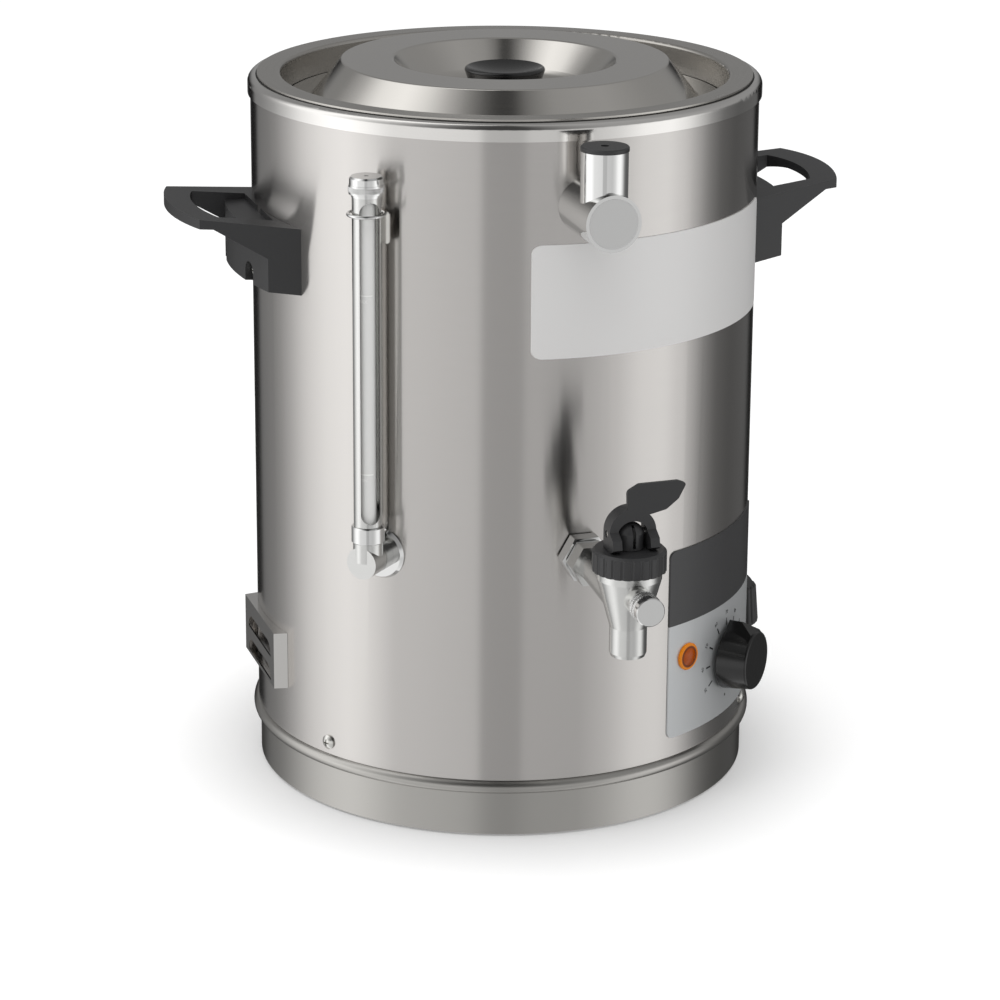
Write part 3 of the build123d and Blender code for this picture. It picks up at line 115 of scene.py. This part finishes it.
def roundPlace(tree, along, across):
    # Angle and height about the urn's axis, each stretched so that grain follows the turning
    place = objectPlace(tree)
    split = addNode(tree, "ShaderNodeSeparateXYZ", None, {0: place})
    turn = addNode(tree, "ShaderNodeMath", {"operation": "ARCTAN2"},
                   {0: split.outputs[1], 1: split.outputs[0]})
    radius = addNode(tree, "ShaderNodeVectorMath", {"operation": "LENGTH"}, {0: place})
    joined = addNode(tree, "ShaderNodeCombineXYZ")
    stretches = ((turn.outputs[0], along), (radius.outputs["Value"], across),
                 (split.outputs[2], across))
    for n, (value, scale) in enumerate(stretches):
        part = addNode(tree, "ShaderNodeMath", {"operation": "MULTIPLY", 1: scale}, {0: value})
        tree.links.new(part.outputs[0], joined.inputs[n])
    return joined.outputs[0]


def spreadRoughness(tree, surface, factor, low, high):
    span = addNode(tree, "ShaderNodeMapRange", {"To Min": low, "To Max": high}, {"Value": factor})
    tree.links.new(span.outputs["Result"], surface.inputs["Roughness"])


def bumpFrom(tree, surface, height, strength, distance):
    bump = addNode(tree, "ShaderNodeBump", {"Strength": strength, "Distance": distance},
                   {"Height": height})
    tree.links.new(bump.outputs["Normal"], surface.inputs["Normal"])


def noiseOver(tree, size, detail, place=None):
    # Fine unevenness of the given size in metres
    noise = addNode(tree, "ShaderNodeTexNoise", {"Scale": 1 / size, "Detail": detail},
                    {"Vector": place or objectPlace(tree)})
    return noise.outputs["Fac"]


def turnedGrain(tree, surface, pitch, stretch, roughness, bump):
    # Hairlines round the axis, pitch in metres, that draw reflections across themselves
    lines = noiseOver(tree, 1.0, 2.0, roundPlace(tree, stretch, 1 / pitch))
    tangent = addNode(tree, "ShaderNodeTangent", {"direction_type": "RADIAL", "axis": "Z"})
    tree.links.new(tangent.outputs[0], surface.inputs["Tangent"])
    spreadRoughness(tree, surface, lines, *roughness)
    bumpFrom(tree, surface, lines, bump, 0.02 * millimetre)


def brushedStainless():
    # 304 sheet, belt brushed round the body: reflections smear upright, faint level hairlines
    material, tree, surface = newMaterial("brushed_stainless_304", "#c8c5c2", 1.0, 0.2,
                                          Anisotropic=0.95, Anisotropic_Rotation=0.25)
    turnedGrain(tree, surface, 0.35 * millimetre, 6.0, (0.16, 0.24), 0.04)
    return material


def polishedStainless():
    # Spun and buffed rim: near mirror with a trace of buffing rings
    material, tree, surface = newMaterial("polished_stainless_spun", "#e0dedb", 1.0, 0.12)
    place = roundPlace(tree, 3.0, 1 / (0.6 * millimetre))
    spreadRoughness(tree, surface, noiseOver(tree, 1.0, 1.0, place), 0.09, 0.17)
    return material


def rolledBase():
    # Rolled ring, ground dull: darker than the body, with soft level streaks
    material, tree, surface = newMaterial("ground_stainless_ring", "#b4b2ae", 1.0, 0.3,
                                          Anisotropic=0.6, Anisotropic_Rotation=0.25)
    turnedGrain(tree, surface, 0.45 * millimetre, 5.0, (0.26, 0.34), 0.05)
    return material


def satinStainless():
    # Deep-drawn pot and sheet inside: satin from the press, turning marks round the axis
    material, tree, surface = newMaterial("satin_stainless_drawn", "#bdbab5", 1.0, 0.24,
                                          Anisotropic=0.3)
    turnedGrain(tree, surface, 0.5 * millimetre, 4.0, (0.2, 0.3), 0.04)
    return material


def spunLid():
    # Spun lid: bright, with fine turning marks that draw the highlights across the rings
    material, tree, surface = newMaterial("bright_stainless_lid", "#cfccc7", 1.0, 0.13,
                                          Anisotropic=0.5)
    turnedGrain(tree, surface, 0.5 * millimetre, 4.0, (0.1, 0.17), 0.03)
    return material


def chromePlate():
    # Bright chrome on polished brass: a clean mirror with slight polishing waves
    material, tree, surface = newMaterial("bright_chrome_plate", "#e2e2e1", 1.0, 0.05)
    bumpFrom(tree, surface, noiseOver(tree, 9 * millimetre, 1.0), 0.08, 0.3 * millimetre)
    return material


def castChrome():
    # Chrome on a cast and linished body: bright but soft, with gentle unevenness
    material, tree, surface = newMaterial("soft_chrome_casting", "#d5d5d3", 1.0, 0.17)
    waves = noiseOver(tree, 5 * millimetre, 2.0)
    spreadRoughness(tree, surface, waves, 0.13, 0.22)
    bumpFrom(tree, surface, waves, 0.08, 0.3 * millimetre)
    return material


def facedChrome():
    # Ends faced on the lathe and left satin: pale flat discs
    return newMaterial("faced_end_satin", "#d9d9d8", 1.0, 0.34)[0]


def zincSteel():
    # Zinc-plated screws and inner sheet: dull bluish silver
    material, tree, surface = newMaterial("zinc_plated_steel", "#b9bcbd", 1.0, 0.38)
    spreadRoughness(tree, surface, noiseOver(tree, 2.5 * millimetre, 3.0), 0.3, 0.48)
    return material


def nickelScrew():
    # Pan heads, nickel plated over a rolled cross recess: bright, a little soft
    material, tree, surface = newMaterial("nickel_plated_screw", "#d8d7d3", 1.0, 0.16)
    spreadRoughness(tree, surface, noiseOver(tree, 1.5 * millimetre, 2.0), 0.12, 0.22)
    return material


def brassTurned():
    # Nuts turned from bar: warm yellow, satin
    return newMaterial("turned_brass", "#b89a5e", 1.0, 0.3)[0]


def mouldedPlastic():
    # Glass-filled polyamide with a fine spark texture: charcoal, satin
    material, tree, surface = newMaterial("moulded_polyamide", "#2e2e2f", 0.0, 0.42)
    grain = noiseOver(tree, 0.5 * millimetre, 2.0)
    spreadRoughness(tree, surface, grain, 0.36, 0.5)
    bumpFrom(tree, surface, grain, 0.12, 0.03 * millimetre)
    return material


def glossPlastic():
    # Phenolic knob from a polished tool: black and glossy
    return newMaterial("gloss_phenolic", "#0d0d0d", 0.0, 0.2, Coat_Weight=0.2,
                       Coat_Roughness=0.06)[0]


def rubberBlack():
    # Moulded feet and gaskets: black and dull
    return newMaterial("moulded_epdm_rubber", "#1d1d1d", 0.0, 0.6)[0]


def siliconeClear():
    # Cast seals: milky grey, soft sheen, a little light passes
    return newMaterial("silicone_rubber", "#8f8b85", 0.0, 0.45, Transmission_Weight=0.3)[0]


lampLens = {
    "angle": 28.95,          # degrees from the front
    "height": 95.9,          # millimetres
    "rim": "#e58512",
    "grooveShade": "#6e3205",
    "middle": "#a24700",
    "steps": (5.0, 5.6, 6.3, 6.9),     # radii where the middle, the painted shade of the groove and the rim begin, millimetres
}


def amberLens():
    # Tinted polycarbonate over a neon: glossy, deeper colour over the lamp, and painted shade in
    # the groove
    material, tree, surface = newMaterial("amber_polycarbonate", lampLens["rim"], 0.0, 0.14,
                                          IOR=1.38)
    turn = math.radians(lampLens["angle"])
    centre = (0, 0, lampLens["height"] * millimetre)
    shift = addNode(tree, "ShaderNodeVectorMath", {"operation": "SUBTRACT", 1: centre},
                    {0: objectPlace(tree)})
    facing = (math.sin(turn), -math.cos(turn), 0)
    across = addNode(tree, "ShaderNodeVectorMath", {"operation": "CROSS_PRODUCT", 1: facing},
                     {0: shift.outputs[0]})
    reach = addNode(tree, "ShaderNodeVectorMath", {"operation": "LENGTH"}, {0: across.outputs[0]})
    widest = 10.0
    span = addNode(tree, "ShaderNodeMath", {"operation": "MULTIPLY", 1: 1 / (widest * millimetre)},
                   {0: reach.outputs["Value"]})
    ramp = addNode(tree, "ShaderNodeValToRGB", None, {0: span.outputs[0]})
    elements = ramp.color_ramp.elements
    elements.remove(elements[1])
    # The darker colour in the groove ring is painted shade
    colours = ("middle", "grooveShade", "grooveShade", "rim")
    for n, (radius, colour) in enumerate(zip(lampLens["steps"], colours)):
        element = elements[0] if n == 0 else elements.new(radius / widest)
        element.position = radius / widest
        element.color = rgb(lampLens[colour])
    tree.links.new(ramp.outputs["Color"], surface.inputs["Base Color"])
    return material


def boroGlass():
    # Drawn borosilicate tube in front of its white back: pale, glossy, a little see-through
    return newMaterial("borosilicate_tube", "#f1f1ef", 0.0, 0.1, IOR=1.47, Alpha=0.9)[0]


def ceramicWhite():
    # Glazed steatite of the terminals and the lamp: cream white with a soft shine
    return newMaterial("glazed_steatite", "#e4e0d6", 0.0, 0.25)[0]


controlPlate = {
    "silver": "#c3c5c6",
    "charcoal": "#3a3a3b",
    "metallic": 0.5,
    "split": 117.5,        # height where the charcoal field starts, millimetres
}

informationPlate = {
    "silver": "#e1e0df",
    "metallic": 0.12,
    "split": None,
}


def printedAluminium(name, plate):
    # Anodised sheet, screen printed: even satin silver, charcoal ink above the split
    material, tree, surface = newMaterial(name, plate["silver"], plate["metallic"], 0.38)
    spreadRoughness(tree, surface, noiseOver(tree, 0.8 * millimetre, 2.0), 0.33, 0.43)
    split = plate["split"]
    if split:
        place = addNode(tree, "ShaderNodeSeparateXYZ", None, {0: objectPlace(tree)})
        upper = addNode(tree, "ShaderNodeMath",
                        {"operation": "GREATER_THAN", 1: split * millimetre}, {0: place.outputs[2]})
        ink = addNode(tree, "ShaderNodeMix",
                      {"data_type": "RGBA", 6: rgb(plate["silver"]), 7: rgb(plate["charcoal"])},
                      {0: upper.outputs[0]})
        tree.links.new(ink.outputs[2], surface.inputs["Base Color"])
        metal = addNode(tree, "ShaderNodeMapRange", {"To Min": plate["metallic"], "To Max": 0.0},
                        {"Value": upper.outputs[0]})
        tree.links.new(metal.outputs["Result"], surface.inputs["Metallic"])
    return material


def dressNodes(finishes):
    for material, names in finishes:
        for name in names:
            piece = nodes[name]
            piece.data.materials.clear()
            piece.data.materials.append(material)


studioLook = {
    "floor": "#e4e4e4",
    "floorLift": 0.42,
    # painted shadow round the foot: the floor's white lift falls to low near the urn, metres from
    # the axis
    "footShadow": {"from": 0.135, "to": 0.235, "low": 0.4},
    "room": 0.75,
    "shellRadius": 12.0,
    # level of the panels and flags round the room, in degrees from the camera towards its right
    "low": [(-180, 0.3), (-172, 0.25), (-165, 0.01), (-151, 0.01), (-147, 0.2), (-136, 0.235),
            (-124, 0.34), (-112, 0.6), (-100, 0.95), (-88, 1.18), (-74, 1.3), (-62, 1.1),
            (-50, 0.84), (-38, 0.82), (-10.5, 0.75), (-8.5, 0.5), (8.5, 0.48), (10.5, 0.61),
            (36, 0.58), (50, 0.73), (64, 1.02), (78, 1.09), (88, 0.88), (96, 0.58), (104, 0.3),
            (113, 0.15), (126, 0.1), (151, 0.12), (155, 0.005), (165, 0.01), (172, 0.25),
            (180, 0.3)],
    "high": [(-180, 0.25), (-136, 0.25), (-122, 0.5), (-108, 1.05), (-90, 1.2), (-75, 0.95),
             (-58, 0.55), (-40, 0.28), (-20, 0.1), (-8, 0.05), (10, 0.05), (25, 0.2), (50, 0.34),
             (90, 0.38), (120, 0.3), (180, 0.25)],
    # sines of the elevation: where the low row gives way to the high one, and where the panels
    # fade towards the floor
    "turnover": (0.02, 0.3),
    "fall": {"from": -0.42, "to": -0.2, "low": 0.92, "high": 1.16},
}

softbox = {
    "place": (-0.6, -0.6, 2.6),      # metres
    "size": (2.4, 2.4),
    "power": 25.0,
    "aim": (0, 0, 0.2),
}


def meshPiece(name, build, material):
    mesh = bpy.data.meshes.new(name)
    build.to_mesh(mesh)
    build.free()
    mesh.materials.append(material)
    piece = bpy.data.objects.new(name, mesh)
    bpy.context.scene.collection.objects.link(piece)
    return piece


def lightPathFactor(tree):
    # One for rays that show the background, nought for those that light the urn
    path = addNode(tree, "ShaderNodeLightPath")
    seen = addNode(tree, "ShaderNodeMath", {"operation": "MAXIMUM"},
                   {0: path.outputs["Is Camera Ray"], 1: path.outputs["Is Transmission Ray"]})
    return addNode(tree, "ShaderNodeMath", {"operation": "MAXIMUM"},
                   {0: seen.outputs[0], 1: path.outputs["Is Glossy Ray"]}).outputs[0]


def makeWorld(look):
    world = bpy.data.worlds.new("studio")
    bpy.context.scene.world = world
    world.use_nodes = True
    tree = world.node_tree
    background = tree.nodes["Background"]
    strength = addNode(tree, "ShaderNodeMapRange", {"To Min": look["room"], "To Max": 1.0},
                       {"Value": lightPathFactor(tree)})
    background.inputs["Color"].default_value = (1, 1, 1, 1)
    tree.links.new(strength.outputs["Result"], background.inputs["Strength"])


def levelRow(tree, sweep, row, top):
    # One row of panels as a ramp over the sweep round the room
    ramp = addNode(tree, "ShaderNodeValToRGB", None, {0: sweep})
    elements = ramp.color_ramp.elements
    while len(elements) > 1:
        elements.remove(elements[-1])
    for n, (angle, level) in enumerate(row):
        stop = (angle + 180) / 360
        element = elements[0] if n == 0 else elements.new(stop)
        element.position = stop
        element.color = (level / top, level / top, level / top, 1)
    return ramp.outputs["Color"]


def panelMaterial(look):
    # Soft boxes and black flags as one glowing sweep
    material = bpy.data.materials.new("studio_panels")
    material.use_nodes = True
    tree = material.node_tree
    tree.nodes.clear()
    place = objectPlace(tree)
    # Turned so that the seam of the sweep lies opposite the camera
    facing = math.radians(cameraSetup["azimuth"])
    mapping = addNode(tree, "ShaderNodeMapping", {"Rotation": (0, 0, math.pi / 2 - facing)},
                      {"Vector": place})
    sweep = addNode(tree, "ShaderNodeTexGradient", {"gradient_type": "RADIAL"},
                    {"Vector": mapping.outputs[0]}).outputs["Fac"]
    top = max(level for row in ("low", "high") for angle, level in look[row])
    height = addNode(tree, "ShaderNodeSeparateXYZ", None, {0: place}).outputs[2]
    radius = look["shellRadius"]
    start, end = look["turnover"]
    upper = addNode(tree, "ShaderNodeMapRange",
                    {"interpolation_type": "SMOOTHSTEP", "From Min": start * radius,
                     "From Max": end * radius}, {"Value": height})
    blend = addNode(tree, "ShaderNodeMix", {"data_type": "RGBA"},
                    {0: upper.outputs["Result"], 6: levelRow(tree, sweep, look["low"], top),
                     7: levelRow(tree, sweep, look["high"], top)})
    fall = look["fall"]
    fade = addNode(tree, "ShaderNodeMapRange",
                   {"From Min": fall["from"] * radius, "From Max": fall["to"] * radius,
                    "To Min": fall["low"] * top, "To Max": fall["high"] * top}, {"Value": height})
    glow = addNode(tree, "ShaderNodeEmission", None,
                   {"Color": blend.outputs[2], "Strength": fade.outputs[0]})
    addNode(tree, "ShaderNodeOutputMaterial", None, {"Surface": glow.outputs[0]})
    return material


def makeShell(look):
    # Panels all round the room, seen only in reflections
    build = bmesh.new()
    bmesh.ops.create_uvsphere(build, u_segments=48, v_segments=24, radius=look["shellRadius"])
    shell = meshPiece("studio_shell", build, panelMaterial(look))
    shell.visible_camera = False
    shell.visible_diffuse = False
    shell.visible_transmission = False
    shell.visible_shadow = False


def floorMaterial(look):
    # Matt white paper, lifted to white for the eye, with a painted shadow round the foot where that
    # lift is turned down
    material, tree, surface = newMaterial("pale_floor", look["floor"], 0.0, 0.6)
    surface.inputs["Specular IOR Level"].default_value = 0.0
    lift = addNode(tree, "ShaderNodeMath", {"operation": "MULTIPLY", 1: look["floorLift"]},
                   {0: lightPathFactor(tree)})
    # Painted shadow: the white lift is scaled down near the urn's axis, whatever the lamps do
    footShadow = look["footShadow"]
    reach = addNode(tree, "ShaderNodeVectorMath", {"operation": "LENGTH"}, {0: objectPlace(tree)})
    paintedShadow = addNode(tree, "ShaderNodeMapRange",
                   {"interpolation_type": "SMOOTHSTEP", "From Min": footShadow["from"],
                    "From Max": footShadow["to"], "To Min": footShadow["low"], "To Max": 1.0},
                   {"Value": reach.outputs["Value"]})
    glow = addNode(tree, "ShaderNodeMath", {"operation": "MULTIPLY"},
                   {0: lift.outputs[0], 1: paintedShadow.outputs["Result"]})
    surface.inputs["Emission Color"].default_value = (1, 1, 1, 1)
    tree.links.new(glow.outputs[0], surface.inputs["Emission Strength"])
    return material


def makeFloor(look):
    build = bmesh.new()
    inside = 0.5      # metres that the floor keeps clear of the shell
    bmesh.ops.create_circle(build, cap_ends=True, segments=64, radius=look["shellRadius"] - inside)
    floor = meshPiece("studio_floor", build, floorMaterial(look))
    floor.visible_glossy = False


def makeLamp(name, look):
    data = bpy.data.lights.new(name, "AREA")
    data.shape = "RECTANGLE"
    data.size, data.size_y = look["size"]
    data.energy = look["power"]
    lamp = bpy.data.objects.new(name, data)
    bpy.context.scene.collection.objects.link(lamp)
    lamp.location = look["place"]
    away = Vector(look["aim"]) - Vector(look["place"])
    lamp.rotation_euler = away.to_track_quat("-Z", "Y").to_euler()
    lamp.visible_camera = False
    lamp.visible_glossy = False


def makeStudio():
    makeWorld(studioLook)
    makeShell(studioLook)
    makeFloor(studioLook)
    makeLamp("overhead_softbox", softbox)
    print("studio ready")


def dressUrn():
    chrome = chromePlate()
    dressNodes([
        (brushedStainless(), ["outer_jacket"]),
        (rolledBase(), ["base_ring"]),
        (polishedStainless(), ["top_collar", "vent_cover_left", "gauge_bracket", "lever_pin"]),
        (spunLid(), ["lid"]),
        (satinStainless(), ["pot_neck", "inner_pot", "pot_base", "vessel_floor",
                            "heating_element", "tap_spring"]),
        (chrome, ["filler_stub", "gauge_rosette", "gauge_socket", "gauge_cap", "gauge_clip",
                  "lock_nut_outer", "cleaning_plug", "valve_stem"]),
        (castChrome(), ["tap_body", "gauge_shield", "gauge_elbow"]),
        (facedChrome(), ["filler_end_disc"]),
        (nickelScrew(), ["base_screws", "handle_screws", "gauge_bracket_screw", "lid_knob_screw"]),
        (zincSteel(), ["base_plate", "thermal_cutout", "thermostat_shaft", "thermostat_body"]),
        (brassTurned(), ["element_glands", "gauge_lock_nut", "lock_nut_inner", "thermostat_nut"]),
        (mouldedPlastic(), ["handle_left", "handle_right", "filler_cap", "tap_bonnet", "stem_head",
                            "tap_lever", "cable_gland", "side_hood"]),
        (glossPlastic(), ["thermostat_knob", "lid_knob"]),
        (rubberBlack(), ["rubber_feet", "pot_gasket", "shank_seals", "plug_ring"]),
        (siliconeClear(), ["gauge_seals", "valve_seal"]),
        (boroGlass(), ["gauge_glass"]),
        (amberLens(), ["pilot_lens"]),
        (ceramicWhite(), ["terminal_block", "lamp_body"]),
        (printedAluminium("printed_control_plate", controlPlate), ["control_panel"]),
        (printedAluminium("printed_information_plate", informationPlate), ["info_plate"]),
    ])
    print("finishes on")
    return chrome


def finishPiece(name, build, material, body):
    piece = meshPiece(name, build, material)
    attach(piece, body)
    return piece


def inkMaterial(name, colour):
    # Screen ink, baked on: flat colour that stands slightly proud, less glossy than the sheet
    material, tree, surface = newMaterial(name, colour, 0.0, 0.5)
    spreadRoughness(tree, surface, noiseOver(tree, 0.2 * millimetre, 1.0), 0.42, 0.56)
    return material


def inkRibbon(build, points, width):
    # Flat strip of ink along a run of points, in millimetres
    rows = []
    for n, (x, y) in enumerate(points):
        before, after = points[max(n - 1, 0)], points[min(n + 1, len(points) - 1)]
        side = Vector((before[1] - after[1], after[0] - before[0])).normalized() * width / 2
        rows.append([build.verts.new((x + side.x, y + side.y, 0)),
                     build.verts.new((x - side.x, y - side.y, 0))])
    for low, high in zip(rows, rows[1:]):
        build.faces.new((low[0], low[1], high[1], high[0]))


def inkWords(build, words, height, place, turn=0.0):
    capital = 0.7      # height of a capital in the font's own size
    curve = bpy.data.curves.new("print", "FONT")
    curve.body = words
    curve.size = height / capital
    curve.resolution_u = 3
    curve.align_x = "CENTER"
    curve.align_y = "CENTER"
    holder = bpy.data.objects.new("print", curve)
    bpy.context.scene.collection.objects.link(holder)
    mesh = bpy.data.meshes.new_from_object(holder)
    bpy.data.objects.remove(holder)
    mesh.transform(Matrix.Translation((*place, 0)) @ Matrix.Rotation(turn, 4, "Z"))
    build.from_mesh(mesh)
    bpy.data.meshes.remove(mesh)


def wrapRound(build, centre, radius, facing, height):
    # Bends flat print, x across and y up, round an upright cylinder; millimetres to metres
    for vert in build.verts:
        turn = math.radians(facing) + vert.co.x / radius
        reach = radius + vert.co.z
        vert.co = Vector((centre[0] + reach * math.sin(turn), centre[1] - reach * math.cos(turn),
                          height + vert.co.y)) * millimetre


def thicken(piece, depth):
    ink = piece.modifiers.new("ink", "SOLIDIFY")
    ink.thickness = depth * millimetre
    ink.offset = 1.0


dialScale = {
    "ink": "#1b1b1c",
    "facing": 45.45,         # degrees from the front; lengths are in millimetres
    "height": 82.6,
    "plateRadius": 150.87,
    "tickStart": 19.9,
    "tickEnd": 24.5,
    "tickWidth": 1.0,
    "numberRadius": 28.1,
    "numberHeight": 2.3,
    # turn from the top in degrees: number
    "numbers": {240: "30", 270: "40", 300: "50", 330: "60", 0: "70", 30: "80", 60: "90",
                90: "100", 120: "110"},
    "dotRadius": 24.4,
    "dotSize": 1.5,
    "inkDepth": 0.04,
}


def makeDialScale(look):
    build = bmesh.new()
    for clock, number in look["numbers"].items():
        turn = math.radians(clock)
        away = Vector((math.sin(turn), math.cos(turn)))
        inkRibbon(build, [away * look["tickStart"], away * look["tickEnd"]], look["tickWidth"])
        inkWords(build, number, look["numberHeight"], away * look["numberRadius"], -turn)
    low = -look["dotRadius"]
    half = look["dotSize"] / 2
    inkRibbon(build, [(0, low - half), (0, low + half)], look["dotSize"])
    wrapRound(build, (0, 0), look["plateRadius"], look["facing"], look["height"])
    scale = finishPiece("dial_scale", build, inkMaterial("black_screen_ink", look["ink"]), "urn")
    thicken(scale, look["inkDepth"])


levelMarks = {
    "ink": "#f6f6f4",
    "facing": -45.0,
    "radius": 5.03,
    "marks": {325.5: "MAX", 221.4: "MIN"},      # heights, millimetres
    "halfAngle": 68.0,       # degrees that a line reaches round the tube to each side
    "halfSteps": 8,
    "width": 0.75,
    "wordDrop": 3.4,
    "wordHeight": 1.9,
    "inkDepth": 0.04,
}


def makeLevelMarks(look):
    low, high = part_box("gauge_glass")
    centre = [(low[n] + high[n]) / 2 / millimetre for n in (0, 1)]
    half = math.radians(look["halfAngle"]) * look["radius"]
    material = inkMaterial("white_glass_enamel", look["ink"])
    for height, word in look["marks"].items():
        build = bmesh.new()
        steps = look["halfSteps"]
        line = [(half * (n / steps - 1), 0) for n in range(2 * steps + 1)]
        inkRibbon(build, line, look["width"])
        inkWords(build, word, look["wordHeight"], (0, -look["wordDrop"]))
        wrapRound(build, centre, look["radius"], look["facing"], height)
        mark = finishPiece("level_mark_" + word.lower(), build, material, "urn")
        thicken(mark, look["inkDepth"])


knurls = {
    "gauge_cap": {"body": "gauge_closure", "axis": "Z", "start": 383.3, "end": 387.9,
                  "radius": 9.86, "depth": 0.35, "count": 44},
    "cleaning_plug": {"body": "plug", "axis": "Y", "start": -262.3, "end": -252.6,
                      "radius": 8.2, "depth": 0.35, "count": 36},
}

knurlGrid = {
    "rows": 16,
    "ridgeSteps": 6,
    "sink": 0.1,       # millimetres that the edges dip under the turned face
    "edge": 0.25,      # share of the band over which the diamonds die out at each side
}


def makeKnurl(node, look, material):
    # Band of rolled diamonds: two sets of crossing grooves, dying out at both edges
    low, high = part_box(node)
    middle = [(low[n] + high[n]) / 2 / millimetre for n in range(3)]
    around, rows = look["count"] * knurlGrid["ridgeSteps"], knurlGrid["rows"]
    sink = knurlGrid["sink"]
    pitch = math.tau * look["radius"] / look["count"]
    build = bmesh.new()
    grid = []
    for row in range(rows + 1):
        along = look["start"] + (look["end"] - look["start"]) * row / rows
        fade = min(1.0, min(row, rows - row) / rows / knurlGrid["edge"])
        ring = []
        for step in range(around):
            turn = math.tau * step / around
            rolled = look["count"] * step / around
            grooves = [abs((rolled + way * along / pitch) % 1 * 2 - 1) for way in (1, -1)]
            reach = look["radius"] - sink + (look["depth"] * min(grooves) + sink) * fade
            across, up = reach * math.cos(turn), reach * math.sin(turn)
            if look["axis"] == "Z":
                place = (middle[0] + across, middle[1] + up, along)
            else:
                place = (middle[0] + across, along, middle[2] - up)
            ring.append(build.verts.new(Vector(place) * millimetre))
        grid.append(ring)
    for lower, upper in zip(grid, grid[1:]):
        for step in range(around):
            after = (step + 1) % around
            build.faces.new((lower[step], lower[after], upper[after], upper[step]))
    finishPiece(node + "_knurl", build, material, look["body"])


def makeDetails(chrome):
    makeDialScale(dialScale)
    makeLevelMarks(levelMarks)
    for node, look in knurls.items():
        makeKnurl(node, look, chrome)
    print("marks and knurls on")


bpy.context.scene.view_settings.view_transform = "Standard"
makeCamera(cameraSetup)
makeStudio()
makeDetails(dressUrn())
